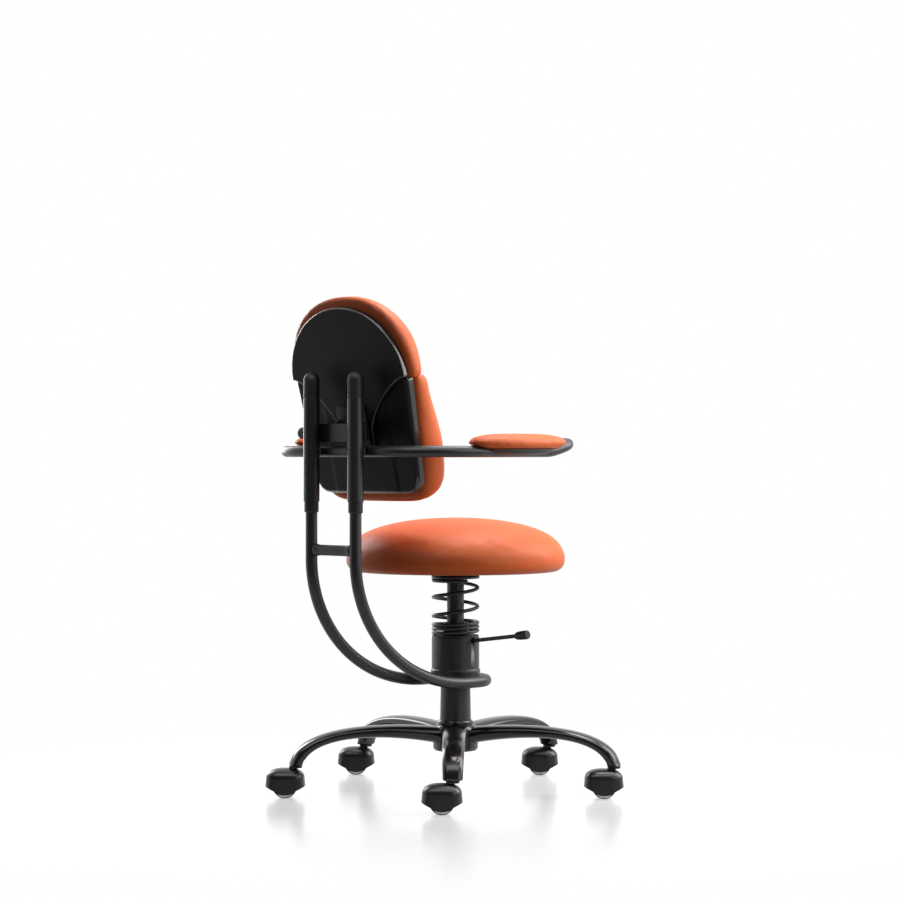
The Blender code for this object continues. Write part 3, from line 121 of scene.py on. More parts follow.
STEM_FLANGE_HEIGHT = 0.004
STEM_RADIUS = 0.0045
STEM_FOOT_RADIUS = 0.0035
AXLE_RADIUS = 0.004

# Column, housing and lever
COLUMN_RADIUS = 0.0285
COLUMN_FOOT = 0.030
COLUMN_BORE = 0.0225
COLUMN_SPIGOT = 0.025
COLUMN_FLOOR = 0.004
COLUMN_FLOOR_HOLE = 0.0053
TRIM_WIDTH = 0.0035
ROD_BORE = 0.0143
HOUSING_RADIUS = 0.046
HOUSING_BORE = 0.041
HOUSING_FLOOR = 0.0424
COLLAR_RADIUS = 0.0467
COLLAR_HEIGHT = 0.020
COLLAR_LIP = 0.0018
NOTCH_INNER = 0.037
NOTCH_OUTER = 0.056
LEVER_RADIUS = 0.00375
LEVER_REACH = 0.150
LEVER_SLOPE = math.radians(7.5)
LEVER_KNOB_LENGTH = 0.039
LEVER_KNOB_RADIUS = 0.0085
LEVER_KNOB_END = 0.0065

# Seat
POST_RADIUS = 0.0165
GUIDE_WALL = 0.0072
GUIDE_FLANGE = 0.045
GUIDE_FLANGE_HEIGHT = 0.0037
PLATE_STEP_SHARE = 0.75
SPRING_RADIUS = 0.0428
WIRE_RADIUS = 0.0035
SPRING_CLOSE_TURNS = 2.75
SPRING_OPEN_TURNS = 2.2
SPRING_END_TURNS = 0.45
SPRING_CLOSE_PITCH = 0.0077
SPRING_TOP_ANGLE = math.radians(165)
SEAT_BELLY = 0.025
SEAT_UNDERCUT = 0.022
SEAT_POWER = 2.2
SEAT_HELD = 0.012
BOARD_RADIUS = 0.180

# Hoop, uprights and arms
HOOP_TUBE_RADIUS = 0.011
HOOP_STRAIGHT_RISE = 0.244
HOOP_CURVE_UP = 0.130
HOOP_CURVE_BACK = 0.184
HOOP_CURVE_START = 0.020
CROSSBAR_RADIUS = 0.0100
CROSSBAR_FLARE = 0.0016
CROSSBAR_DEPTH = 0.68
FLARE_BEFORE = 0.014
FLARE_LENGTH = 0.013
FLARE_FALL = 1.6
FLARE_FALL_LENGTH = 0.005
UPRIGHT_RADIUS = 0.015
UPRIGHT_WALL = 0.002
ARM_TUBE_RADIUS = 0.0105
ARM_HALF_SPAN = 0.232
ARM_REAR_BEND = 0.1286
ARM_FRONT_BEND = 0.045
ARM_FRONT_REACH = 0.092
ARM_TAIL = 0.010
ARM_LIFT = 0.015
ARM_LIFT_START = 0.002
ARM_LIFT_LENGTH = 0.09
WELD_HALF_WIDTH = 0.0088
WELD_HALF_HEIGHT = 0.0072
WELD_RADIUS = 0.0021
WELD_RIPPLE = 0.0003
WELD_RIPPLES = 22
PAD_POWER = 2.15
PAD_HELD = 0.004
PAD_REACH = 0.0015
PAD_FLAT_SHARE = 0.7
PLATE_FLAT_SHARE = 0.55
PAD_GROWTH = (0.003, 0.010, 0.004)
PAD_SHIFT = (0, -0.003, -0.0055)
PLATE_GROWTH = (-0.006, 0.004, 0.006)
PLATE_SHIFT = (0, -0.003, -0.0095)

# Back rest, in the frame that leans with it about its axle
RECLINE = math.radians(13.0)
SHELL_OFFSET = 0.025
SHELL_SPLIT = 0.0965
SHELL_TOP = 0.230
SHELL_BOTTOM = -0.124
SHELL_HALF_WIDTH = 0.1475
SHELL_FOOT_HALF_WIDTH = 0.134
SHELL_CORNER = 0.028
ARCH_POWER = 2.0
UPPER_SHELL_THICKNESS = 0.012
TONGUE_THICKNESS = 0.0057
TONGUE_HALF_WIDTH = 0.044
TONGUE_BOTTOM = -0.040
TONGUE_POWER = 1.4
LOWER_SHELL_THICKNESS = 0.018
UPPER_CUSHION_THICKNESS = 0.0485
LOWER_CUSHION_THICKNESS = 0.0785
LOWER_CUSHION_TOP_SHARE = 0.72
CUSHION_TOP_OVERHANG = 0.014
CUSHION_FOOT_OVERHANG = 0.0185
CUSHION_SIDE_OVERHANG = 0.004
UPPER_CUSHION_DROP = 0.0055
LOWER_CUSHION_HEAD = 0.0005
GAP = 0.0003
LOWER_SHELL_REAR = -SHELL_OFFSET - TONGUE_THICKNESS - GAP
SHELL_EDGE = 0.007
SPADE_EDGE = 0.0035
HEAD_EDGE = 0.002
SPADE_CROWN = 0.0018
CREASE_PLACE = 0.08
CREASE_WIDTH = 0.004
CREASE_STEP = 0.0013
CORNER_PULL = 1.17
SHELL_HEAD_CORNER = 0.007
KNOB_HOLE = 0.0038
KNOB_AROUND = 144
KNOB_RIBS = 18
KNOB_RIB_DEPTH = 0.045

# Soft pieces and the pads' plates: levels are (share of the outline, share of the thickness)
CUSHION_LEVELS = [(0.95, 0.0), (0.995, 0.12), (1.0, 0.34), (0.985, 0.56), (0.94, 0.75), (0.86, 0.88)]
CUSHION_LEVELS += [(0.7, 0.965), (0.45, 0.995), (0.2, 1.0), (0.0, 1.0)]
PAD_LEVELS = [(0.86, 0.0), (0.955, 0.14), (1.0, 0.36), (0.97, 0.6), (0.86, 0.82), (0.6, 0.96)]
PAD_LEVELS += [(0.25, 1.0), (0.0, 1.0)]
PLATE_LEVELS = [(0.62, 0), (0.78, 0.1), (0.9, 0.35), (0.97, 0.7), (1.0, 1), (0, 1)]
CUSHION_EXTRA = 0.0022
CUSHION_REACH = 0.0016
CUSHION_HELD = 0.006
ARCH_SPREAD = 0.0055
ARCH_CUSHION_POWER = 2.3
CUSHION_HEAD_CORNER = 0.016
UPPER_CUSHION_TOP_SHARE = 0.9
CLOTH_CELL = 0.005
CLOTH_STEPS = 20
CLOTH_SETTINGS = {
    "quality": 5,
    "mass": 0.4,
    "tension_stiffness": 20,
    "compression_stiffness": 20,
    "shear_stiffness": 8,
    "bending_stiffness": 1.5,
    "vertex_group_mass": "held",
    "use_pressure": True,
    "uniform_pressure_force": 4.0,
}

# Studio
CAMERA_TURN = math.radians(223.5)
CAMERA_DISTANCE = 4.95
CAMERA_HEIGHT = 0.658
CAMERA_LENS = 102.26
CAMERA_SHIFT = -4.5 / 902
AMBIENT = 0.08
FLOOR_RADIUS = 1.3
FLOOR_COLOUR = (0.24, 0.24, 0.24)
FLOOR_GLOW = (0.54, 0.54, 0.54)
FLOOR_ROUGHNESS = 0.19
FADE_START = 0.35
FADE_END = 0.92
CURTAIN_HALF_ANGLE = 1.35
CURTAIN_PROFILE = [(FLOOR_RADIUS, -0.03), (6.5, -0.03), (7.0, 0.5), (7.0, 4.5), (5.5, 6.5)]
LIT_HEIGHT = 0.5

# Lamps: name, place (right, away, up from the column), width, height, power
LAMPS = (
    ("key", (1.9, 0.2, 1.6), 1.7, 1.8, 56),
    ("top", (0.4, 0.3, 2.3), 1.0, 1.0, 33),
    ("rim", (-1.4, 1.7, 1.15), 0.7, 1.4, 24),
    ("fill", (1.7, -1.5, 0.95), 1.2, 1.2, 10),
    ("card", (0, -1.3, 2.1), 3.0, 1.0, 26),
)


# Places


def lowest(node):
    """Lowest corner of a solid."""
    return np.array(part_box(node)[0])


def highest(node):
    """Highest corner of a solid."""
    return np.array(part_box(node)[1])


def centre_of(node):
    """Middle of a solid's box."""
    return (lowest(node) + highest(node)) / 2


def foot_of(node):
    """Point of the floor below a solid's middle."""
    return centre_of(node) * [1, 1, 0]


def heights(node):
    """Lowest and highest Z of a solid."""
    return lowest(node)[2], highest(node)[2]


COLUMN = foot_of("column_tube")
LEG_TIP_Z = lowest("star_base")[2]
HUB_TOP = lowest("column_trim_ring")[2] - GAP
HUB_BOTTOM = LEG_TIP_Z + HUB_UNDERSIDE
HOOP_Z = lowest("back_hoop")[2] + HOOP_TUBE_RADIUS
UPRIGHT = centre_of("upright_left")
HOOP_HALF_SPAN = UPRIGHT[0] - COLUMN[0]
BACK_REACH = UPRIGHT[1] - COLUMN[1]
ARM_Z = lowest("arm_tube")[2] + ARM_TUBE_RADIUS
PIVOT = np.array(JOINTS["back_tilt"]["pos_m"])
LEVER_PIVOT = np.array(JOINTS["height_lever_press"]["pos_m"])


# Shape helpers


def full_turn(count):
    """Angles at even steps round a full turn."""
    return np.linspace(0, 2 * math.pi, count, endpoint=False)


def smooth_step(share):
    """Rises from 0 to 1 with level ends: 3 s squared less 2 s cubed, s held between 0 and 1."""
    held = np.clip(share, 0.0, 1.0)
    return held * held * (3 - 2 * held)


def signed_power(value, power):
    """The size of a value raised to a power, with the value's own sign."""
    return np.sign(value) * np.abs(value) ** power


def unit(vectors):
    """Vectors along the last axis, brought to length 1."""
    return vectors / np.linalg.norm(vectors, axis=-1, keepdims=True)


def softened(corners, radius, closed=False):
    """A polyline whose corners are rounded.

    Each corner becomes a quadratic curve from a point one radius before it to one radius after it, with
    the corner as its pull; a point just outside each end of the curve keeps the flat next to it flat.
    """
    corners = np.asarray(corners, float)
    before = np.roll(corners, 1, axis=0) - corners
    after = np.roll(corners, -1, axis=0) - corners
    back = np.linalg.norm(before, axis=1, keepdims=True)
    ahead = np.linalg.norm(after, axis=1, keepdims=True)
    size = np.minimum(np.minimum(back, ahead) * 0.36, np.reshape(radius, (-1, 1)))
    start = corners + before / np.maximum(back, 1e-9) * size
    end = corners + after / np.maximum(ahead, 1e-9) * size
    t = np.linspace(0, 1, CORNER_STEPS)[None, :, None]
    curve = (1 - t) ** 2 * start[:, None] + 2 * t * (1 - t) * corners[:, None] + t ** 2 * end[:, None]
    lead = corners + (start - corners) * 1.35
    tail = corners + (end - corners) * 1.35
    rounded = np.concatenate([lead[:, None], curve, tail[:, None]], axis=1)
    if closed:
        return rounded.reshape(-1, corners.shape[1])
    inner = rounded[1:-1].reshape(-1, corners.shape[1])
    return np.concatenate([corners[:1], inner, corners[-1:]])


def evenly(path, count):
    """A path resampled to points at even distances along it."""
    steps = np.linalg.norm(np.diff(path, axis=0), axis=1)
    along = np.concatenate([[0], np.cumsum(steps)])
    wanted = np.linspace(0, along[-1], count)
    return np.stack([np.interp(wanted, along, path[:, n]) for n in range(path.shape[1])], axis=1)


def arc(middle, radius, start, end, count):
    """Points on a level arc about a point, between two angles."""
    turn = np.linspace(start, end, count)
    level = np.full(count, middle[2])
    return np.stack([middle[0] + radius * np.cos(turn), middle[1] + radius * np.sin(turn), level], axis=1)


def bezier(start, pull_start, pull_end, end, count):
    """Points on a cubic curve: the four points weighted by the cubic Bernstein terms."""
    t = np.linspace(0, 1, count)[:, None]
    s = 1 - t
    points = [np.asarray(point, float) for point in (start, pull_start, pull_end, end)]
    return s ** 3 * points[0] + 3 * s * s * t * points[1] + 3 * s * t * t * points[2] + t ** 3 * points[3]


def smooth_through(points, count):
    """A smooth curve through points: cubic pieces, each slope being that between a point's neighbours."""
    points = np.asarray(points, float)
    slope = np.gradient(points, axis=0)
    place = np.linspace(0, len(points) - 1, count)
    first = np.minimum(place.astype(int), len(points) - 2)
    t = (place - first)[:, None]
    s = 1 - t
    here = (1 + 2 * t) * s * s * points[first] + t * s * s * slope[first]
    return here + t * t * (3 - 2 * t) * points[first + 1] - t * t * s * slope[first + 1]


def mesh_piece(name, points, around_closed=True, along_closed=False, capped=True):
    """A mesh from a grid of points, rows along the piece and columns around it.

    Neighbouring rows and columns make four-sided faces; open ends are closed with one face each, doubles
    at poles are merged and the faces are turned outwards.
    """
    rows, columns = points.shape[:2]
    index = np.arange(rows * columns).reshape(rows, columns)
    below = index if along_closed else index[:-1]
    above = np.roll(index, -1, axis=0) if along_closed else index[1:]
    here_below = below if around_closed else below[:, :-1]
    here_above = above if around_closed else above[:, :-1]
    next_below = np.roll(below, -1, axis=1) if around_closed else below[:, 1:]
    next_above = np.roll(above, -1, axis=1) if around_closed else above[:, 1:]
    faces = np.stack([here_below, next_below, next_above, here_above], axis=-1).reshape(-1, 4).tolist()
    if capped and not along_closed:
        faces += [index[0].tolist(), index[-1].tolist()]
    mesh = bpy.data.meshes.new(name)
    mesh.from_pydata(points.reshape(-1, 3), [], faces)
    return piece_from(name, mesh)


def piece_from(name, mesh):
    """An object with a cleaned mesh: doubles merged, faces outwards, shaded smooth but for sharp edges."""
    work = bmesh.new()
    work.from_mesh(mesh)
    bmesh.ops.remove_doubles(work, verts=work.verts, dist=2e-6)
    bmesh.ops.dissolve_degenerate(work, edges=work.edges, dist=1e-6)
    bmesh.ops.recalc_face_normals(work, faces=work.faces)
    work.to_mesh(mesh)
    work.free()
    shade_smooth(mesh)
    return linked(name, mesh)


def shade_smooth(mesh):
    """Shades a mesh smooth but for its sharp edges."""
    mesh.polygons.foreach_set("use_smooth", np.ones(len(mesh.polygons), bool))
    mesh.set_sharp_from_angle(angle=SHARP_ANGLE)


def linked(name, content):
    """A new object in the scene, around a mesh, a lamp or a camera."""
    made = bpy.data.objects.new(name, content)
    bpy.context.scene.collection.objects.link(made)
    return made


def points_of(piece):
    """Places of a piece's mesh points, a row each."""
    flat = np.zeros(len(piece.data.vertices) * 3)
    piece.data.vertices.foreach_get("co", flat)
    return flat.reshape(-1, 3)


def mark(piece, name, values):
    """Keeps a value for each mesh point, for the piece's finish to read."""
    kept = piece.data.attributes.new(name, "FLOAT", "POINT")
    kept.data.foreach_set("value", values.astype(np.float32))


def turned_grid(profile, around=AROUND):
    """A profile of radius and height carried round the Z axis: (r cos a, r sin a, z)."""
    profile = np.asarray(profile, float)
    turn = full_turn(around)
    ring = np.stack([np.cos(turn), np.sin(turn)], axis=1)
    flat = profile[:, None, :1] * ring[None]
    height = np.broadcast_to(profile[:, None, 1:2], (len(profile), around, 1))
    return np.concatenate([flat, height], axis=2)


def turned(name, profile, place=COLUMN, around=AROUND, closed=True):
    """A turned piece about an upright axis at a place; a closed profile has a bore."""
    return mesh_piece(name, turned_grid(profile, around) + place, along_closed=closed)


def along_axis(points, origin, forward):
    """A grid made about Z, laid along another direction from an origin."""
    forward = unit(np.asarray(forward, float))
    helper = UP if abs(forward[2]) < 0.9 else np.array([1.0, 0, 0])
    side = unit(np.cross(helper, forward))
    up = np.cross(forward, side)
    return origin + points[..., :1] * side + points[..., 1:2] * up + points[..., 2:3] * forward


def swept_grid(path, side, radius, around=AROUND_TUBE):
    """A round section carried along a path: path + r (side cos a + across sin a), across = along x side."""
    along = unit(np.gradient(path, axis=0))
    side = unit(side - along * np.sum(side * along, axis=1, keepdims=True))
    across = np.cross(along, side)
    turn = full_turn(around)[None, :, None]
    size = np.broadcast_to(np.asarray(radius, float), (len(path),))[:, None, None]
    ring = side[:, None] * np.cos(turn) + across[:, None] * np.sin(turn)
    return path[:, None] + size * ring


def domed_ends(path, radius, dome):
    """A path and its radii with both ends drawn in to a rounded end of a given depth."""
    share = np.sin(np.linspace(0, math.pi / 2, 7))
    first = unit(path[1] - path[0])
    last = unit(path[-1] - path[-2])
    depth = dome * (1 - share)
    size = radius - dome + dome * np.sqrt(np.maximum(0, 1 - (1 - share) ** 2))
    start = path[0] + first * (dome - depth)[:, None]
    end = path[-1] - last * (dome - depth[::-1])[:, None]
    inside = (np.linalg.norm(path - path[0], axis=1) > dome * 1.5)
    inside &= np.linalg.norm(path - path[-1], axis=1) > dome * 1.5
    body = path[inside]
    radii = np.concatenate([size, np.full(len(body), radius), size[::-1]])
    return np.concatenate([start, body, end]), radii


def softened_copy(name, node, width):
    """A merged copy of a solid whose edges are bevelled."""
    mesh = frame["nodes"][node].data.copy()
    work = bmesh.new()
    work.from_mesh(mesh)
    bmesh.ops.remove_doubles(work, verts=work.verts, dist=1e-6)
    bmesh.ops.dissolve_limit(work, angle_limit=math.radians(1), verts=work.verts, edges=work.edges)
    work.to_mesh(mesh)
    work.free()
    mesh.materials.clear()
    shade_smooth(mesh)
    made = linked(name, mesh)
    bevel = made.modifiers.new("soft edges", "BEVEL")
    bevel.width = width
    bevel.segments = 3
    bevel.limit_method = "ANGLE"
    bevel.angle_limit = math.radians(32)
    bevel.harden_normals = True
    return made


def combined(piece, others, operation):
    """Unites other closed pieces with a piece or takes them out of it, then removes them."""
    for other in others:
        step = piece.modifiers.new("combine", "BOOLEAN")
        step.operation = operation
        step.solver = "EXACT"
        step.object = other
        apply_modifiers(piece)
        bpy.data.objects.remove(other)


def apply_modifiers(piece):
    """Makes the result of a piece's modifiers its own mesh."""
    bpy.context.view_layer.update()
    shaped = piece.evaluated_get(bpy.context.evaluated_depsgraph_get())
    mesh = bpy.data.meshes.new_from_object(shaped)
    piece.modifiers.clear()
    piece.data = mesh


def seat_on(piece, body, slot, material, *stands_for):
    """Gives a piece its finish and its body, and hides the solids that it stands for; the slot is not used.
    """
    piece.data.materials.clear()
    piece.data.materials.append(material)
    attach(piece, body)
    if stands_for:
        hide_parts(*stands_for)


def turned_part(node, body, slot, material, corners, soft, place=COLUMN, around=AROUND, closed=True):
    """A turned piece with softened corners that stands for a solid."""
    piece = turned(f"{node}_turned", softened(corners, soft, closed=closed), place, around, closed)
    seat_on(piece, body, slot, material, node)


# Finishes


class Value:
    """A node's output that takes part in arithmetic: each operation adds a Math node."""

    def __init__(self, finish, socket):
        self.finish = finish
        self.socket = socket

    def math(self, operation, first, second):
        """One Math node on two values, either of which may be a number."""
        return self.finish.node("ShaderNodeMath", {"operation": operation}, {0: first, 1: second})

    def __add__(self, other):
        return self.math("ADD", self, other)

    def __rsub__(self, other):
        return self.math("SUBTRACT", other, self)

    def __mul__(self, other):
        return self.math("MULTIPLY", self, other)

    __radd__ = __add__
    __rmul__ = __mul__


class Finish:
    """One material: its nodes, and short names for the patterns that the finishes share."""

    def __init__(self, name):
        self.material = bpy.data.materials.new(name)
        self.material.use_nodes = True
        self.tree = self.material.node_tree
        self.shader = self.tree.nodes["Principled BSDF"]
        self.where = self.node("ShaderNodeTexCoord", output="Object")

    def node(self, kind, settings=None, values=None, output=0):
        """Adds a node: its settings first, then values or links for its sockets."""
        made = self.tree.nodes.new(kind)
        for key, value in (settings or {}).items():
            setattr(made, key, value)
        for key, value in (values or {}).items():
            self.feed(made.inputs[key], value)
        return Value(self, made.outputs[output])

    def feed(self, socket, value):
        """Links a value to a socket, or sets the socket to a number or colour."""
        if isinstance(value, Value):
            self.tree.links.new(value.socket, socket)
        elif isinstance(value, tuple) and socket.type == "RGBA":
            socket.default_value = (*value, 1.0)
        else:
            socket.default_value = value

    def set(self, socket, value):
        """Feeds one socket of the finish's own shader."""
        self.feed(self.shader.inputs[socket], value)

    def noise(self, scale, detail=2.0, where=None):
        """Soft random pattern, 0 to 1, with a scale in waves per metre."""
        values = {"Vector": where or self.where, "Scale": scale, "Detail": detail}
        return self.node("ShaderNodeTexNoise", {"normalize": True}, values)

    def cell_edges(self, scale, where=None):
        """Distance to the nearest border between random cells, in cells."""
        values = {"Vector": where or self.where, "Scale": scale}
        return self.node("ShaderNodeTexVoronoi", {"feature": "DISTANCE_TO_EDGE"}, values)

    def shaken(self, scale, reach):
        """Object coordinates pushed about by a random pattern, so that borders aren't straight."""
        values = {"Vector": self.where, "Scale": scale}
        push = self.node("ShaderNodeTexNoise", None, values, output="Color")
        middle = self.node("ShaderNodeVectorMath", {"operation": "SUBTRACT"}, {0: push, 1: (0.5, 0.5, 0.5)})
        sized = self.node("ShaderNodeVectorMath", {"operation": "SCALE"}, {0: middle, "Scale": reach})
        return self.node("ShaderNodeVectorMath", {"operation": "ADD"}, {0: self.where, 1: sized})

    def stretched(self, along, across):
        """Object coordinates scaled so that a pattern is drawn out: (x and y factor, z factor)."""
        values = {"Vector": self.where, "Scale": (across, across, along)}
        return self.node("ShaderNodeMapping", None, values)

    def between(self, value, low, high):
        """A smooth step of a value from 0 at low to 1 at high."""
        values = {"Value": value, "From Min": low, "From Max": high}
        return self.node("ShaderNodeMapRange", {"interpolation_type": "SMOOTHSTEP"}, values)

    def mix(self, first, second, share):
        """A colour between two, by a share."""
        settings = {"data_type": "RGBA", "clamp_factor": True}
        return self.node("ShaderNodeMix", settings, {0: share, 6: first, 7: second}, output=2)

    def facing_up(self):
        """1 on faces that look upwards, 0 on upright and lower ones."""
        normal = self.node("ShaderNodeNewGeometry", output="Normal")
        parts = self.node("ShaderNodeSeparateXYZ", None, {0: normal}, output="Z")
        return self.between(parts, 0.35, 1.0)

    def bump(self, height, depth, strength=1.0):
        """Relief from a height pattern whose full range is so many metres deep."""
        values = {"Height": height, "Distance": depth, "Strength": strength}
        self.set("Normal", self.node("ShaderNodeBump", None, values))


def satin_paint():
    """Satin black paint on steel: orange peel, hand marks that change its gloss, a little dust on top."""
    made = Finish("satin_black_paint")
    peel = made.noise(520, 3)
    marks = made.noise(19, 5)
    speck = made.between(made.noise(1900, 2), 0.62, 0.75)
    dust = made.facing_up() * made.noise(60, 4) * 0.06
    made.set("Base Color", made.mix((0.0135, 0.0137, 0.0141), (0.11, 0.108, 0.104), dust + speck * 0.03))
    made.set("Roughness", 0.31 + marks * 0.14 + dust * 0.5)
    made.set("Specular IOR Level", 0.5)
    made.bump(peel + speck * 0.25, 0.00016, 0.6)
    return made.material


def gloss_moulding(name, roughness):
    """Gloss black moulding: faint flow marks, hairline scratches and scuffs that dull it."""
    made = Finish(name)
    flow = made.noise(34, 4)
    hair = made.noise(260, 3, made.stretched(0.12, 1.0))
    scratch = made.between(hair, 0.66, 0.7)
    scuff = made.between(made.noise(24, 6), 0.52, 0.78)
    dust = made.facing_up() * made.noise(90, 4) * 0.04
    made.set("Base Color", made.mix((0.0065, 0.0065, 0.007), (0.1, 0.1, 0.098), dust + scratch * 0.03))
    made.set("Roughness", roughness + flow * 0.06 + scuff * 0.06 + scratch * 0.08 + dust * 0.6)
    made.set("Specular IOR Level", 0.5)
    made.bump(flow * 0.6 + scratch * 0.2, 0.00012, 0.45)
    return made.material


def shell_plastic():
    """Moulded black shell: a stipple of small raised cells, rubbed in places, with polished edges."""
    made = Finish("stippled_black_shell")
    edge = made.node("ShaderNodeAttribute", {"attribute_name": "edge"}, output="Fac")
    edges = made.cell_edges(780, made.shaken(900, 0.0009))
    raised = made.between(edges, 0.02, 0.3)
    rubbed = made.noise(13, 4)
    fine = made.noise(2400, 2)
    dust = made.facing_up() * made.noise(70, 4) * 0.1
    made.set("Base Color", made.mix((0.0028, 0.0028, 0.0027), (0.009, 0.009, 0.0087), rubbed * 0.35 + dust))
    made.set("Roughness", 0.36 - rubbed * 0.1 + (1 - raised) * 0.08)
    made.set("Specular IOR Level", 0.12)
    made.set("Coat Weight", edge)
    made.set("Coat Roughness", 0.12)
    made.bump(raised + fine * 0.25, 0.00022, 0.5)
    return made.material


def collar_plastic():
    """Fine matt black plastic of collars, plugs and knobs, with scuffs that show paler."""
    made = Finish("matt_black_plastic")
    grain = made.noise(1500, 3)
    scuff = made.between(made.noise(45, 6), 0.55, 0.8)
    made.set("Base Color", made.mix((0.013, 0.013, 0.0135), (0.05, 0.05, 0.05), scuff * 0.3))
    made.set("Roughness", 0.42 + grain * 0.12 + scuff * 0.1)
    made.set("Specular IOR Level", 0.38)
    made.bump(grain, 0.00012, 0.5)
    return made.material


def wheel_rubber():
    """Dark grey tyre and hub with a pale metal ring between them as a painted highlight: rolled-in dirt and
    a matt moulded grain.
    """
    made = Finish("grey_wheel")
    highlight_ring = made.node("ShaderNodeAttribute", {"attribute_name": "highlight_ring"}, output="Fac")
    dirt = made.between(made.noise(120, 6), 0.42, 0.72)
    grain = made.noise(1700, 2)
    # painted highlight: the pale ring colour stands for a highlight on the wheel's face; as metal it also
    # mirrors its surroundings
    ring = made.mix((0.78, 0.78, 0.785), (0.4, 0.395, 0.385), dirt * 0.4)
    tyre = made.mix((0.016, 0.016, 0.0165), (0.05, 0.049, 0.047), dirt * 0.6)
    made.set("Base Color", made.mix(tyre, ring, highlight_ring))
    made.set("Metallic", highlight_ring * 0.9)
    made.set("Roughness", 0.42 + dirt * 0.2 + grain * 0.06)
    made.set("Specular IOR Level", 0.4)
    made.bump(grain + dirt * 0.4, 0.00014, 0.6)
    return made.material


def bright_steel():
    """Ground steel: fine lines drawn round the piece, with an oily film that varies its gloss."""
    made = Finish("ground_steel")
    lines = made.noise(900, 2, made.stretched(1.0, 0.04))
    film = made.noise(40, 4)
    made.set("Base Color", made.mix((0.6, 0.6, 0.61), (0.42, 0.415, 0.41), film))
    made.set("Metallic", 1.0)
    made.set("Roughness", 0.2 + lines * 0.14 + film * 0.08)
    made.bump(lines, 0.00004, 0.5)
    return made.material


def guide_nylon():
    """Off-white nylon of bushes: faint mottling, grease smears near what slides on it."""
    made = Finish("guide_nylon")
    mottle = made.noise(150, 4)
    grease = made.between(made.noise(38, 5), 0.5, 0.75)
    made.set("Base Color", made.mix((0.62, 0.6, 0.54), (0.4, 0.37, 0.3), mottle * 0.3 + grease * 0.4))
    made.set("Roughness", 0.5 - grease * 0.22 + mottle * 0.08)
    made.bump(mottle, 0.0001, 0.4)
    return made.material


def seat_ply():
    """Birch plywood: long grain along Y on the faces, thin glue lines between its layers on the edge."""
    made = Finish("birch_plywood")
    place = made.node("ShaderNodeMapping", None, {"Vector": made.where, "Scale": (1.0, 0.07, 1.0)})
    grain = made.noise(240, 5, place)
    cloud = made.noise(22, 4, place)
    height = made.node("ShaderNodeSeparateXYZ", None, {0: made.where}, output="Z")
    layer = made.node("ShaderNodeMath", {"operation": "PINGPONG"}, {0: height, 1: 0.0008})
    glue = 1 - made.between(layer, 0.00004, 0.00014)
    wood = made.mix((0.56, 0.39, 0.22), (0.36, 0.22, 0.105), grain * 0.6 + cloud * 0.3)
    made.set("Base Color", made.mix(wood, (0.12, 0.06, 0.028), glue * 0.5))
    made.set("Roughness", 0.5 + grain * 0.2)
    made.bump(grain, 0.0002, 0.5)
    return made.material


def orange_leather():
    """Orange leather: pebbled grain of shaken cells, pores, tone that drifts, and painted shade darkening
    the creases.
    """
    made = Finish("orange_leather")
    edges = made.cell_edges(560, made.shaken(650, 0.0013))
    pebble_and_crease_shade = made.between(edges, 0.015, 0.32)
    pores = made.noise(2300, 2)
    tone = made.noise(8, 4)
    patch = made.noise(55, 4)
    body = made.mix((0.86, 0.168, 0.03), (0.77, 0.13, 0.019), tone * 0.75 + patch * 0.2)
    # painted shade: a dark orange is mixed in along the creases between the raised cells
    made.set("Base Color", made.mix((0.52, 0.078, 0.016), body, 0.62 + pebble_and_crease_shade * 0.38))
    made.set("Roughness", 0.48 - pebble_and_crease_shade * 0.1 + patch * 0.08)
    made.set("Specular IOR Level", 0.3)
    made.bump(pebble_and_crease_shade + pores * 0.3, 0.0002, 0.35)
    return made.material


SATIN = satin_paint()
GLOSS = gloss_moulding("gloss_black_moulding", 0.13)
HOOD = gloss_moulding("soft_black_moulding", 0.27)
SHELL = shell_plastic()
PLASTIC = collar_plastic()
TREAD = wheel_rubber()
STEEL = bright_steel()
NYLON = guide_nylon()
PLY = seat_ply()
LEATHER = orange_leather()


# Star base and casters


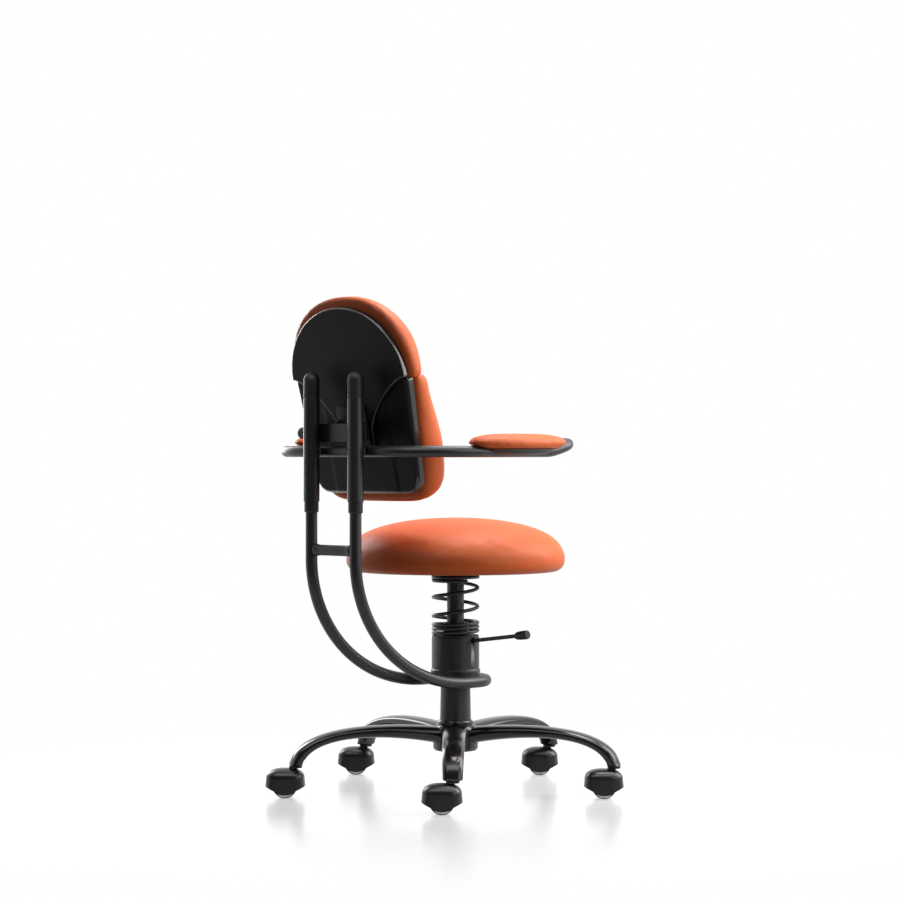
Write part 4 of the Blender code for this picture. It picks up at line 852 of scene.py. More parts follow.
def leg_grid(stem):
    """One leg: superellipse sections carried along a cubic curve from the hub out and down to a stem.

    Height and width run from root to tip, with a dip of height at mid length; the sections turn level
    towards the tip, whose lower edge is drawn in.
    """
    reach = np.linalg.norm((stem - COLUMN)[:2])
    outward = unit((stem - COLUMN) * [1, 1, 0])
    sideways = np.array([-outward[1], outward[0], 0])
    middle = HUB_BOTTOM + (HUB_TOP - HUB_BOTTOM) * LEG_ROOT_LEVEL
    root = (HUB_RADIUS * LEG_ROOT_SHARE, middle)
    pull_root = (reach * LEG_ROOT_PULL, middle + LEG_ROOT_PULL_UP)
    pull_tip = (reach * LEG_TIP_PULL, middle + LEG_TIP_PULL_UP)
    line = bezier(root, pull_root, pull_tip, (reach, LEG_TIP_Z), 56)
    along = unit(np.gradient(line, axis=0))
    t = np.linspace(0, 1, len(line))
    height = LEG_ROOT_HEIGHT + (LEG_TIP_HEIGHT - LEG_ROOT_HEIGHT) * t - LEG_DIP * 4 * t * (1 - t)
    width = LEG_ROOT_WIDTH + (LEG_TIP_WIDTH - LEG_ROOT_WIDTH) * t
    turn = full_turn(48)
    across = signed_power(np.cos(turn), LEG_POWER)[None] * width[:, None] / 2
    rise = signed_power(np.sin(turn), LEG_POWER)[None] * height[:, None] / 2
    tilt = along[:, None, 0] * (1 - smooth_step((t - LEG_LEVEL_FROM) / (1 - LEG_LEVEL_FROM)))[:, None]
    out = line[:, None, 0] - along[:, None, 1] * rise
    z = line[:, None, 1] + tilt * rise
    grid = COLUMN + out[..., None] * outward + across[..., None] * sideways + z[..., None] * UP
    foot = grid[-1].mean(axis=0) + (grid[-1] - grid[-1].mean(axis=0)) * LEG_FOOT_SHARE
    grid[-1, :, 2] += LEG_FOOT_LIFT
    return np.concatenate([grid, foot[None]])


def build_star_base():
    """Hub and five legs united into one casting, bored for the column."""
    top = HUB_RADIUS - HUB_SHOULDER
    corners = [(0, HUB_BOTTOM), (HUB_RADIUS * 0.93, HUB_BOTTOM), (HUB_RADIUS, HUB_BOTTOM + HUB_CHAMFER)]
    corners += [(HUB_RADIUS, HUB_TOP - HUB_SHOULDER), (top, HUB_TOP), (0, HUB_TOP)]
    base = turned("star_base_casting", softened(corners, 0.004), closed=False)
    stems = [foot_of(f"caster_{number}_stem") for number in range(1, LEG_COUNT + 1)]
    combined(base, [mesh_piece("leg", leg_grid(stem)) for stem in stems], "UNION")
    bore = COLUMN_SPIGOT + GAP
    beyond = 0.02
    profile = [(bore, HUB_BOTTOM - beyond), (bore, HUB_TOP + beyond)]
    combined(base, [turned("bore", profile, closed=False)], "DIFFERENCE")
    shade_smooth(base.data)
    seat_on(base, "base", "gloss_black", GLOSS, "star_base")


def caster_axes(number):
    """Stem's foot on the floor, forward and sideways directions, and the axle's place along forward."""
    stem = foot_of(f"caster_{number}_stem")
    left = centre_of(f"caster_{number}_wheel_left")
    right = centre_of(f"caster_{number}_wheel_right")
    sideways = unit((left - right) * [1, 1, 0])
    forward = np.cross(sideways, UP)
    return stem, forward, sideways, np.dot((left + right) / 2 - stem, forward)


def hood_edge(along):
    """Height of the hood's lower edge: it slopes down from the ends to a broad lobe below the axle."""
    inside = np.minimum(np.abs(along) / LOBE_REACH, 1.0)
    lobe = WHEEL_RADIUS - LOBE_DEPTH * (1 - inside ** LOBE_POWER) ** (1 / LOBE_POWER)
    share = np.minimum(np.abs(along) / (HOOD_LENGTH / 2), 1.0)
    slope = WHEEL_RADIUS - 0.0005 - np.minimum(1 - share, HOOD_SLOPE_SHARE) * HOOD_SLOPE
    return np.minimum(lobe, slope)


def hood_skin(length, width, crown):
    """One skin of the hood: a cubic superellipse outline, nearly upright from its edge and domed above.

    The side closes in a little on its way up; over the shoulder the outline shrinks by s and rises by
    (1 - s to the 2.5) to the 0.4.
    """
    turn = full_turn(120)
    x = length / 2 * signed_power(np.cos(turn), 2 / 3)
    y = width / 2 * signed_power(np.sin(turn), 2 / 3)
    shoulder = crown - HOOD_DOME
    lift = np.linspace(0, 1, 8)[:, None]
    edge = hood_edge(x * HOOD_LENGTH / length)[None]
    closing = 1 - HOOD_FLARE * lift
    side = np.stack([x * closing, y * closing, edge + (shoulder - edge) * lift], axis=-1)
    scale = np.cos(np.linspace(0, math.pi / 2, 20))[1:, None]
    scale[-1] = 0
    x = x * closing[-1]
    y = y * closing[-1]
    z = shoulder + (crown - shoulder) * (1 - scale ** 2.5) ** 0.4
    dome = np.stack([x * scale, y * scale, z + 0 * x], axis=-1)
    return np.concatenate([side, dome])


def prism(name, outline, low, high):
    """An outline of (x, z) points carried along Y between two values."""
    outline = np.asarray(outline, float)
    rows = [np.stack([outline[:, 0], np.full(len(outline), y), outline[:, 1]], axis=1) for y in (low, high)]
    return mesh_piece(name, np.stack(rows))


def in_axes(piece, origin, forward, sideways):
    """Moves a mesh from local X forward, Y sideways, Z up to its place."""
    points = points_of(piece)
    moved = origin + points[:, :1] * forward + points[:, 1:2] * sideways + points[:, 2:] * UP
    piece.data.vertices.foreach_set("co", moved.ravel())
    piece.data.update()


def caster_hood(number):
    """Hollow domed hood with the web between its wheels."""
    crown = highest(f"caster_{number}_hood")[2]
    stem, forward, sideways, axle = caster_axes(number)
    outer = hood_skin(HOOD_LENGTH, HOOD_WIDTH, crown)
    inner = hood_skin(HOOD_LENGTH - 2 * HOOD_WALL, HOOD_WIDTH - 2 * HOOD_WALL, crown - HOOD_WALL)
    lip = (inner[:1] + outer[:1]) / 2 - [0, 0, 0.0006]
    grid = np.concatenate([inner[::-1], lip, outer])
    hood = mesh_piece(f"caster_{number}_hood_shell", grid, capped=False)
    web_end = -axle + WEB_STEM_ROOM
    web_top = crown - HOOD_WALL * 0.8
    corners = [(WEB_FRONT, WEB_FOOT), (WEB_FOOT_END, WEB_FOOT), (web_end, WEB_REAR_FOOT)]
    corners += [(web_end, web_top), (WEB_FRONT, web_top)]
    web = prism("web", softened(corners, 0.004, closed=True), -WEB_HALF_WIDTH, WEB_HALF_WIDTH)
    combined(hood, [web], "UNION")
    in_axes(hood, stem + forward * axle, forward, sideways)
    seat_on(hood, f"caster_{number}", "gloss_black", HOOD, f"caster_{number}_hood")


def caster_stem(number):
    """Stem with a flange below the leg and a pin in the leg."""
    node = f"caster_{number}_stem"
    low, top = heights(node)
    flange = highest(f"caster_{number}_hood")[2] + GAP
    shoulder = flange + STEM_FLANGE_HEIGHT
    corners = [(0, low), (STEM_FOOT_RADIUS, low), (STEM_FOOT_RADIUS, flange), (STEM_FLANGE, flange)]
    corners += [(STEM_FLANGE, shoulder), (STEM_RADIUS, shoulder), (STEM_RADIUS, top), (0, top)]
    body = f"caster_{number}"
    turned_part(node, body, "bright_steel", PLASTIC, corners, 0.0008, foot_of(node), 40, closed=False)


def caster_wheel(number, side):
    """Wheel with a dished hub, round shoulders and a groove round its rolling face."""
    node = f"caster_{number}_wheel_{side}"
    sideways = caster_axes(number)[2]
    half = WHEEL_HALF_WIDTH
    dish = half - WHEEL_DISH
    r = WHEEL_RADIUS
    face = [(WHEEL_BORE, half), (WHEEL_HUB, half), (DISH_INNER, dish), (DISH_OUTER, dish)]
    face += [(WHEEL_RIM, half), (r - 0.0025, half), (r, half - 0.0028), (r, 0.0012), (r - 0.0007, 0.0006)]
    profile = [(radius, -along) for radius, along in face] + face[::-1]
    grid = turned_grid(softened(profile, 0.0007, closed=True), 72)
    wheel = mesh_piece(f"{node}_turned", along_axis(grid, centre_of(node), sideways), along_closed=True)
    # painted highlight: the pale ring between hub and tyre is marked here for the finish
    away = np.linalg.norm(np.cross(points_of(wheel) - centre_of(node), sideways), axis=1)
    ring = smooth_step((away - HIGHLIGHT_RING_INNER) / HIGHLIGHT_RING_BLEND) - smooth_step((away - HIGHLIGHT_RING_OUTER) / HIGHLIGHT_RING_BLEND)
    mark(wheel, "highlight_ring", ring)
    seat_on(wheel, f"caster_{number}_{side}", "grey_tread", TREAD, node)


def caster_axle(number):
    """Steel axle through both wheels, with rounded ends."""
    stem, forward, sideways, axle = caster_axes(number)
    half = HOOD_WIDTH / 2 - HOOD_WALL - GAP
    corners = [(0, -half), (AXLE_RADIUS, -half), (AXLE_RADIUS, half), (0, half)]
    grid = turned_grid(softened(corners, 0.001), 32)
    origin = stem + forward * axle + UP * WHEEL_RADIUS
    pin = mesh_piece(f"caster_{number}_axle", along_axis(grid, origin, sideways), capped=False)
    seat_on(pin, f"caster_{number}", "bright_steel", STEEL)


# Column, housing and lever


def build_column():
    """Column tube, trim ring and guide bush."""
    low, top = heights("column_tube")
    seat = HUB_TOP + GAP
    floor = low + COLUMN_FLOOR
    corners = [(COLUMN_FLOOR_HOLE, low), (COLUMN_SPIGOT, low), (COLUMN_SPIGOT, seat), (COLUMN_FOOT, seat)]
    corners += [(COLUMN_RADIUS, top), (COLUMN_BORE, top), (COLUMN_BORE, floor), (COLUMN_FLOOR_HOLE, floor)]
    turned_part("column_tube", "base", "painted_steel", SATIN, corners, 0.0012)
    inner = COLUMN_FOOT + GAP
    outer = inner + TRIM_WIDTH
    low, high = heights("column_trim_ring")
    corners = [(inner, low), (outer, low), (outer, high - 0.0025), (outer - 0.0015, high), (inner, high)]
    turned_part("column_trim_ring", "base", "gloss_black", GLOSS, corners, 0.0008)
    foot, high = heights("guide_bush")
    outer = COLUMN_BORE - GAP
    brim = COLUMN_RADIUS - 0.001
    corners = [(ROD_BORE, foot), (outer, foot), (outer, top + GAP), (brim, top + GAP)]
    corners += [(brim, high), (ROD_BORE, high)]
    turned_part("guide_bush", "base", "guide_plastic", NYLON, corners, 0.0006)


def build_housing():
    """Housing: a turned cup with a collar and a soft rim above it, notched for the lever."""
    low, top = heights("column_housing")
    collar = low + COLLAR_HEIGHT
    rim = HOUSING_RADIUS + COLLAR_LIP
    floor = low + HOUSING_FLOOR
    corners = [(HOUSING_RADIUS, top), (HOUSING_RADIUS, collar + 0.007), (rim, collar + 0.005)]
    corners += [(rim, collar), (COLLAR_RADIUS, collar), (COLLAR_RADIUS, low)]
    corners += [(ROD_BORE, low), (ROD_BORE, floor), (HOUSING_BORE, floor), (HOUSING_BORE, top)]
    housing = turned("column_housing_turned", softened(corners, 0.0012, closed=True), around=120)
    half = LEVER_RADIUS + 0.001
    foot = LEVER_PIVOT[2] - LEVER_RADIUS - 0.0006
    corners = [(-half, foot), (half, foot), (half, top + 0.01), (-half, top + 0.01)]
    outline = softened(corners, [0.0035, 0.0035, 0.001, 0.001], closed=True)
    notch = prism("notch", outline, NOTCH_INNER, NOTCH_OUTER)
    in_axes(notch, COLUMN, np.array([0, 1.0, 0]), np.array([-1.0, 0, 0]))
    combined(housing, [notch], "DIFFERENCE")
    seat_on(housing, "carrier", "painted_steel", SATIN, "column_housing")


def build_lever():
    """Height lever: a bent rod swept along softened corners, with a barrel-shaped knob on its outer end."""
    slope = math.tan(LEVER_SLOPE)
    foot = highest("valve_button")[2] + 0.0005 + LEVER_RADIUS - LEVER_PIVOT[2]
    arm = COLUMN[0] - LEVER_PIVOT[0]
    corners = [(-LEVER_REACH, 0, LEVER_REACH * slope), (0, 0, 0), (0, 0, foot), (arm + 0.002, 0, foot)]
    path = LEVER_PIVOT + evenly(softened(corners, 0.006), 150)
    path, radii = domed_ends(path, LEVER_RADIUS, 0.0012)
    side = np.broadcast_to([0, 1.0, 0], path.shape)
    rod = mesh_piece("height_lever_rod", swept_grid(path, side, radii, 28))
    seat_on(rod, "lever", "painted_steel", SATIN, "height_lever")
    outward = np.array([-math.cos(LEVER_SLOPE), 0, math.sin(LEVER_SLOPE)])
    along = LEVER_KNOB_LENGTH * 0.6 - GAP
    mouth = LEVER_PIVOT + outward * (LEVER_REACH / math.cos(LEVER_SLOPE) - along)
    depth = along + GAP
    hole = LEVER_RADIUS + GAP
    r = LEVER_KNOB_RADIUS
    end = depth + LEVER_KNOB_END
    corners = [(0, depth), (hole, depth), (hole, 0), (r * 0.72, 0), (r * 0.9, end * 0.16), (r, end * 0.5)]
    corners += [(r, end * 0.93), (r * 0.86, end), (0, end)]
    grid = turned_grid(softened(corners, 0.003), 48)
    knob = mesh_piece("lever_knob_turned", along_axis(grid, mouth, outward), capped=False)
    seat_on(knob, "lever", "gloss_black", PLASTIC, "lever_knob")


# Seat post and spring


def build_post():
    """Post guide and the stepped plate under the seat."""
    flange = highest("column_housing")[2] + GAP
    brim = flange + GUIDE_FLANGE_HEIGHT
    low, high = heights("post_guide")
    plug = HOUSING_BORE - GAP
    inner = POST_RADIUS + GAP
    outer = inner + GUIDE_WALL
    corners = [(inner, low), (plug, low), (plug, flange), (GUIDE_FLANGE, flange)]
    corners += [(GUIDE_FLANGE, brim), (outer, brim), (outer - 0.002, high), (inner, high)]
    turned_part("post_guide", "carrier", "painted_steel", PLASTIC, corners, 0.0007)
    low, high = heights("seat_plate")
    outer = (highest("seat_plate") - centre_of("seat_plate"))[0]
    step = outer * PLATE_STEP_SHARE
    corners = [(0, low), (outer, low), (outer, low + 0.005), (step, low + 0.008), (step, high), (0, high)]
    turned_part("seat_plate", "seat", "painted_steel", SATIN, corners, 0.0015, closed=False)


def build_spring():
    """Coil spring: a wire swept along a helix with close turns, open turns and a flat closed end."""
    bottom, top = heights("seat_spring")
    turns = SPRING_CLOSE_TURNS + SPRING_OPEN_TURNS + SPRING_END_TURNS
    done = np.linspace(0, turns, 700)
    close = bottom + WIRE_RADIUS + SPRING_CLOSE_PITCH * np.minimum(done, SPRING_CLOSE_TURNS)
    open_from = bottom + WIRE_RADIUS + SPRING_CLOSE_PITCH * SPRING_CLOSE_TURNS
    share = np.clip((done - SPRING_CLOSE_TURNS) / SPRING_OPEN_TURNS, 0, 1)
    z = close + (top - WIRE_RADIUS - open_from) * share
    turn = SPRING_TOP_ANGLE + 2 * math.pi * (done - turns)
    outward = np.stack([np.cos(turn), np.sin(turn), np.zeros(len(turn))], axis=1)
    path = COLUMN + outward * SPRING_RADIUS
    path[:, 2] = z
    path, radii = domed_ends(path, WIRE_RADIUS, 0.001)
    outward = unit((path - COLUMN) * [1, 1, 0])
    spring = mesh_piece("seat_spring_wire", swept_grid(path, outward, radii, AROUND_WIRE))
    seat_on(spring, "carrier", "painted_steel", SATIN, "seat_spring")
    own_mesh(spring)


# Hoop, uprights and arms


def build_hoop():
    """Back hoop: a tube swept up both legs and round the housing, and a crossbar."""
    side = HOOP_HALF_SPAN
    knee = HOOP_Z + HOOP_STRAIGHT_RISE
    pull_start = (BACK_REACH, knee - HOOP_CURVE_UP)
    pull_end = (HOOP_CURVE_START + HOOP_CURVE_BACK, HOOP_Z)
    curve = bezier((BACK_REACH, knee), pull_start, pull_end, (HOOP_CURVE_START, HOOP_Z), 80)
    leg = np.concatenate([[(BACK_REACH, highest("back_hoop")[2])], curve])
    right = np.stack([np.full(len(leg), side), leg[:, 0], leg[:, 1]], axis=1)
    turn = np.linspace(0, math.pi, 60)
    bend = np.stack([side * np.cos(turn), -side * np.sin(turn), np.full(len(turn), HOOP_Z)], axis=1)
    path = evenly(np.concatenate([right, bend, right[::-1] * [-1, 1, 1]]), 420)
    outward = np.sign(path[:, :1]) * [1, 0, 0]
    outward = np.where(path[:, 1:2] < 0, unit(path * [1, 1, 0]), outward)
    grid = swept_grid(COLUMN + path, outward, HOOP_TUBE_RADIUS, AROUND_TUBE)
    seat_on(mesh_piece("back_hoop_tube", grid), "carrier", "painted_steel", SATIN, "back_hoop")
    build_crossbar(curve)


def build_crossbar(leg):
    """Oval bar on the middle line of the hoop's legs, a little taller where it meets them."""
    middle = centre_of("hoop_crossbar")
    middle[1] = COLUMN[1] + np.interp(middle[2], leg[::-1, 1], leg[::-1, 0])
    half = HOOP_HALF_SPAN
    along = np.linspace(-half, half, 100)
    beyond = np.abs(along) - half + HOOP_TUBE_RADIUS
    flare = smooth_step((beyond + FLARE_BEFORE) / FLARE_LENGTH)
    flare = flare - FLARE_FALL * smooth_step(beyond / FLARE_FALL_LENGTH)
    radius = CROSSBAR_RADIUS + CROSSBAR_FLARE * flare
    profile = np.concatenate([[(0, -half)], np.stack([radius, along], axis=1), [(0, half)]])
    grid = along_axis(turned_grid(profile, AROUND_TUBE), middle, (1, 0, 0))
    grid[..., 1] = middle[1] + (grid[..., 1] - middle[1]) * CROSSBAR_DEPTH
    bar = mesh_piece("hoop_crossbar_turned", grid, capped=False)
    seat_on(bar, "carrier", "painted_steel", SATIN, "hoop_crossbar")


def build_upright(side):
    """One upright tube with its domed cap and its lower collar."""
    name = f"upright_{side}"
    place = foot_of(name)
    low, high = heights(name)
    outer = UPRIGHT_RADIUS
    inner = outer - UPRIGHT_WALL
    corners = [(inner, low), (outer, low), (outer, high), (inner, high)]
    tube = turned(f"{name}_tube", softened(corners, 0.0006, closed=True), place, 64)
    seat_on(tube, "arm_frame", "painted_steel", SATIN, name)
    cap = f"upright_cap_{side}"
    plug = inner - GAP
    foot = high + GAP
    end, crown = heights(cap)
    turn = np.linspace(0, math.pi / 2, 18)
    dome = np.stack([outer * np.cos(turn), crown - outer + outer * np.sin(turn)], axis=1)
    dome[-1, 0] = 0
    lip = [(0, end), (plug, end), (plug, foot), (outer - 0.0006, foot), (outer, foot + 0.0007)]
    piece = turned(f"{cap}_domed", np.concatenate([lip, dome]), place, 64, closed=False)
    seat_on(piece, "arm_frame", "black_shell", PLASTIC, cap)
    collar = f"upright_collar_{side}"
    flange = (highest(collar) - lowest(collar))[0] / 2
    bore = HOOP_TUBE_RADIUS + GAP
    foot, sleeve = heights(collar)
    corners = [(bore, foot), (flange - 0.0015, foot), (flange, foot + 0.002), (flange, low - GAP)]
    corners += [(plug, low - GAP), (plug, sleeve), (bore, sleeve)]
    turned_part(collar, "arm_frame", "black_shell", PLASTIC, corners, 0.0008, place, 64)


def arm_line():
    """Middle line of the arm tube in local places, from one front end round the back to the other.

    Rounded corners in plan; towards the front the line rises by a smooth step.
    """
    rear = BACK_REACH - UPRIGHT_RADIUS - GAP - ARM_TUBE_RADIUS
    front = (ARM_HALF_SPAN - ARM_FRONT_BEND, ARM_FRONT_BEND - ARM_FRONT_REACH, 0)
    back = (ARM_HALF_SPAN - ARM_REAR_BEND, rear - ARM_REAR_BEND, 0)
    tail = np.array([(front[0] - ARM_TAIL, -ARM_FRONT_REACH, 0)])
    front_bend = arc(front, ARM_FRONT_BEND, -math.pi / 2, 0, 24)
    rear_bend = arc(back, ARM_REAR_BEND, 0, math.pi / 2, 48)
    right = np.concatenate([tail, front_bend, rear_bend])
    path = evenly(np.concatenate([right, right[::-1] * [-1, 1, 1]]), 460)
    path[:, 2] = ARM_Z + ARM_LIFT * smooth_step((-path[:, 1] - ARM_LIFT_START) / ARM_LIFT_LENGTH)
    return path


def build_arm_tube():
    """Arm tube swept along its line with closed rounded ends, and weld beads on the uprights."""
    path, radii = domed_ends(arm_line(), ARM_TUBE_RADIUS, 0.002)
    sideways = unit(np.cross(UP, np.gradient(path, axis=0)))
    grid = swept_grid(COLUMN + path, sideways, radii, AROUND_TUBE)
    seat_on(mesh_piece("arm_tube_bent", grid), "arm_frame", "painted_steel", SATIN, "arm_tube")
    for side in ("left", "right"):
        build_weld(side)


def build_weld(side):
    """Weld bead: a rippled loop along the line where the arm tube touches one upright.

    The loop stands off both tubes' contact point by a share of their radii and lies on the arm tube.
    """
    place = foot_of(f"upright_{side}")
    turn = np.linspace(0, 2 * math.pi, 97)
    across = WELD_HALF_WIDTH * np.cos(turn)
    rise = WELD_HALF_HEIGHT * np.sin(turn)
    contact = place[1] - UPRIGHT_RADIUS - GAP / 2
    spread = (across ** 2 / UPRIGHT_RADIUS - rise ** 2 / ARM_TUBE_RADIUS) / 4
    path = np.stack([place[0] + across, contact + spread, ARM_Z + rise], axis=1)
    outward = unit(np.stack([across, 0 * across, rise], axis=1))
    ripple = WELD_RADIUS + WELD_RIPPLE * np.sin(turn * WELD_RIPPLES)
    grid = swept_grid(path, outward, ripple, 14)[:-1]
    bead = mesh_piece(f"arm_weld_{side}", grid, along_closed=True)
    seat_on(bead, "arm_frame", "painted_steel", SATIN)


def pad_grid(node, levels, flat_share, growth, shift):
    """Stacked superellipse ovals over a pad's box: each level is (share of the plan, share of the height).

    Low levels are drawn in further along the length than across. The box is grown and shifted.
    """
    size = highest(node) - lowest(node) + growth
    middle = centre_of(node) + shift
    low = middle - size / 2
    turn = full_turn(120)
    plan = smooth_through(levels, 60)
    share = plan[:, :1]
    rise = plan[:, 1:]
    drawn = (levels[0][0] - flat_share) * np.maximum(0, 1 - rise / 0.36)
    x = middle[0] + size[0] / 2 * share * signed_power(np.cos(turn), 2 / PAD_POWER)
    y = middle[1] + size[1] / 2 * (share - drawn) * signed_power(np.sin(turn), 2 / PAD_POWER)
    z = low[2] + size[2] * rise + 0 * x
    return np.stack([x, y, z], axis=-1)


# Back rest


def leaning(points):
    """Points of the back rest's own frame (X across, Y to the rear, Z up) put in place, leaning back."""
    x, y, z = np.moveaxis(np.asarray(points, float), -1, 0)
    back = y * math.cos(RECLINE) + z * math.sin(RECLINE)
    up = z * math.cos(RECLINE) - y * math.sin(RECLINE)
    return PIVOT + np.stack([x, back, up], axis=-1)


def closed_evenly(outline, count):
    """A closed outline resampled at even distances."""
    return evenly(np.concatenate([outline, outline[:1]]), count + 1)[:-1]


def arch_line(half_width, base, top, power=ARCH_POWER, count=90):
    """The arched top from its right foot over to its left: half a superellipse."""
    turn = np.linspace(0, math.pi, count)
    x = half_width * signed_power(np.cos(turn), 2 / power)
    z = base + (top - base) * np.abs(np.sin(turn)) ** (2 / power)
    return np.stack([x, z], axis=1)


def spade_outline():
    """Upper shell: the arch, then on each side a hollow curve in and down to the tongue's round end."""
    over = arch_line(SHELL_HALF_WIDTH, SHELL_SPLIT, SHELL_TOP)
    share = np.linspace(1, 0, 40)[1:]
    inward = (1 - share ** TONGUE_POWER) ** (1 / TONGUE_POWER)
    x = SHELL_HALF_WIDTH - (SHELL_HALF_WIDTH - TONGUE_HALF_WIDTH) * inward
    corners = [(TONGUE_HALF_WIDTH, 0.0), (TONGUE_HALF_WIDTH, TONGUE_BOTTOM), (0, TONGUE_BOTTOM)]
    foot = softened(corners, 0.013)[1:-1]
    right = np.concatenate([np.stack([x, SHELL_SPLIT * share], axis=1), foot])
    return closed_evenly(np.concatenate([over, right * [-1, 1], right[::-1]]), 320)


def foot_outline(half, foot_half, head, foot, head_corner, foot_corner):
    """Straight top, tapered sides and rounded lower corners, from the upper left round by the right."""
    corners = [(-half, head), (-foot_half, foot), (foot_half, foot), (half, head)]
    rounded = softened(corners, [head_corner, foot_corner, foot_corner, head_corner], closed=True)
    return closed_evenly(rounded, 320)


def inset(outline, distance):
    """A closed outline moved inwards along its own normals."""
    along = unit(np.roll(outline, -1, axis=0) - np.roll(outline, 1, axis=0))
    inward = np.stack([-along[:, 1], along[:, 0]], axis=1)
    return outline + inward * distance


def shell_grid(outline, centre, rear, front, edge, crown=0.0, crease=None):
    """A plate between two planes with a rounded rear edge and a gently crowned rear face.

    As the edge turns through a, the outline is drawn in by edge (1 - cos a); then it shrinks by s towards
    a centre while the face stands out by crown (1 - s squared). Past a crease the face steps back a little.
    """
    centre = np.asarray(centre, float)
    bevel = min(edge, (rear - front) * 0.6)
    turn = np.linspace(0, math.pi / 2, 9)
    drawn = np.stack([inset(outline, edge * (1 - math.cos(a))) for a in turn])
    shrink = np.linspace(1, 0, 40)[1:]
    face = centre + (drawn[-1] - centre) * shrink[:, None, None]
    blank = centre + (outline - centre) * np.array([0, 0.5, 1.0])[:, None, None]
    flat = np.concatenate([blank, drawn, face])
    depth = [np.full(3, front), rear - bevel + bevel * np.sin(turn), rear + crown * (1 - shrink ** 2)]
    y = np.concatenate(depth)[:, None] + 0 * flat[..., 0]
    if crease:
        beyond = smooth_step((np.abs(flat[..., 0]) - crease) / CREASE_WIDTH)
        y = np.where(y > front + 0.001, y - CREASE_STEP * beyond, y)
    return leaning(np.stack([flat[..., 0], y, flat[..., 1]], axis=-1))


def mark_edge(piece, outline, edge):
    """Marks a shell's rounded edge for its finish: 1 along the outline, 0 where the flat face begins."""
    points = points_of(piece) - PIVOT
    rise = points[:, 1] * math.sin(RECLINE) + points[:, 2] * math.cos(RECLINE)
    flat = np.stack([points[:, 0], rise], axis=1)
    away = np.array([np.linalg.norm(outline - place, axis=1).min() for place in flat])
    mark(piece, "edge", np.clip((edge - away) / (edge * 0.4), 0, 1))


def build_shells():
    """Upper shell with its tongue and thicker head, and the lower shell with two creases."""
    rear = -SHELL_OFFSET
    middle = (0, SHELL_SPLIT + 0.02)
    spade = spade_outline()
    grid = shell_grid(spade, middle, rear, rear - TONGUE_THICKNESS, SPADE_EDGE, SPADE_CROWN)
    upper = mesh_piece("back_upper_shell_moulding", grid, capped=False)
    over = closed_evenly(arch_line(SHELL_HALF_WIDTH, SHELL_SPLIT, SHELL_TOP), 300)
    middle = (0, SHELL_SPLIT + 0.04)
    grid = shell_grid(over, middle, rear - TONGUE_THICKNESS * 0.5, rear - UPPER_SHELL_THICKNESS, HEAD_EDGE)
    combined(upper, [mesh_piece("head", grid, capped=False)], "UNION")
    shade_smooth(upper.data)
    mark_edge(upper, spade, SPADE_EDGE)
    seat_on(upper, "back_rest", "black_shell", SHELL, "back_upper_shell")
    rear = LOWER_SHELL_REAR
    head = SHELL_SPLIT - GAP
    corners = (SHELL_HEAD_CORNER, SHELL_CORNER * CORNER_PULL)
    outline = foot_outline(SHELL_HALF_WIDTH, SHELL_FOOT_HALF_WIDTH, head, SHELL_BOTTOM, *corners)
    grid = shell_grid(outline, (0, 0), rear, rear - LOWER_SHELL_THICKNESS, SHELL_EDGE, crease=CREASE_PLACE)
    lower = mesh_piece("back_lower_shell_moulding", grid, capped=False)
    mark_edge(lower, outline, SHELL_EDGE)
    seat_on(lower, "back_rest", "black_shell", SHELL, "back_lower_shell")


def build_back_fittings():
    """Carrier plate, bracket and axle as copies of their solids with softened edges."""
    fittings = (
        ("back_carrier", "arm_frame", "painted_steel", SATIN, 0.0012),
        ("back_bracket", "back_rest", "painted_steel", SATIN, 0.0012),
        ("pivot_axle", "arm_frame", "bright_steel", STEEL, 0.0005),
    )
    for node, body, slot, material, width in fittings:
        seat_on(softened_copy(f"{node}_soft", node, width), body, slot, material, node)


def build_back_knob():
    """Hand knob: a turned knob with a blind hole, its outside drawn in between the ribs by a cosine."""
    low = lowest("back_knob")
    size = highest("back_knob") - low
    length = size[0]
    r = size[2] / 2
    depth = length * 0.6 + GAP
    corners = [(0, depth), (KNOB_HOLE, depth), (KNOB_HOLE, 0), (r * 0.75, 0), (r, 0.004)]
    corners += [(r, length - 0.005), (r * 0.8, length - 0.001), (0, length)]
    profile = evenly(softened(corners, 0.002), 90)
    grid = turned_grid(profile, KNOB_AROUND)
    turn = full_turn(KNOB_AROUND)
    outer = smooth_step((profile[:, 0] - r * 0.9) / (r * 0.08))[:, None]
    ribbed = 1 - KNOB_RIB_DEPTH * outer * (0.5 - 0.5 * np.cos(turn * KNOB_RIBS))
    grid[..., :2] *= ribbed[..., None]
    origin = centre_of("back_knob")
    origin[0] = low[0]
    knob = mesh_piece("back_knob_ribbed", along_axis(grid, origin, (1, 0, 0)), capped=False)
    seat_on(knob, "hand_knob", "black_shell", PLASTIC, "back_knob")


# Soft pieces


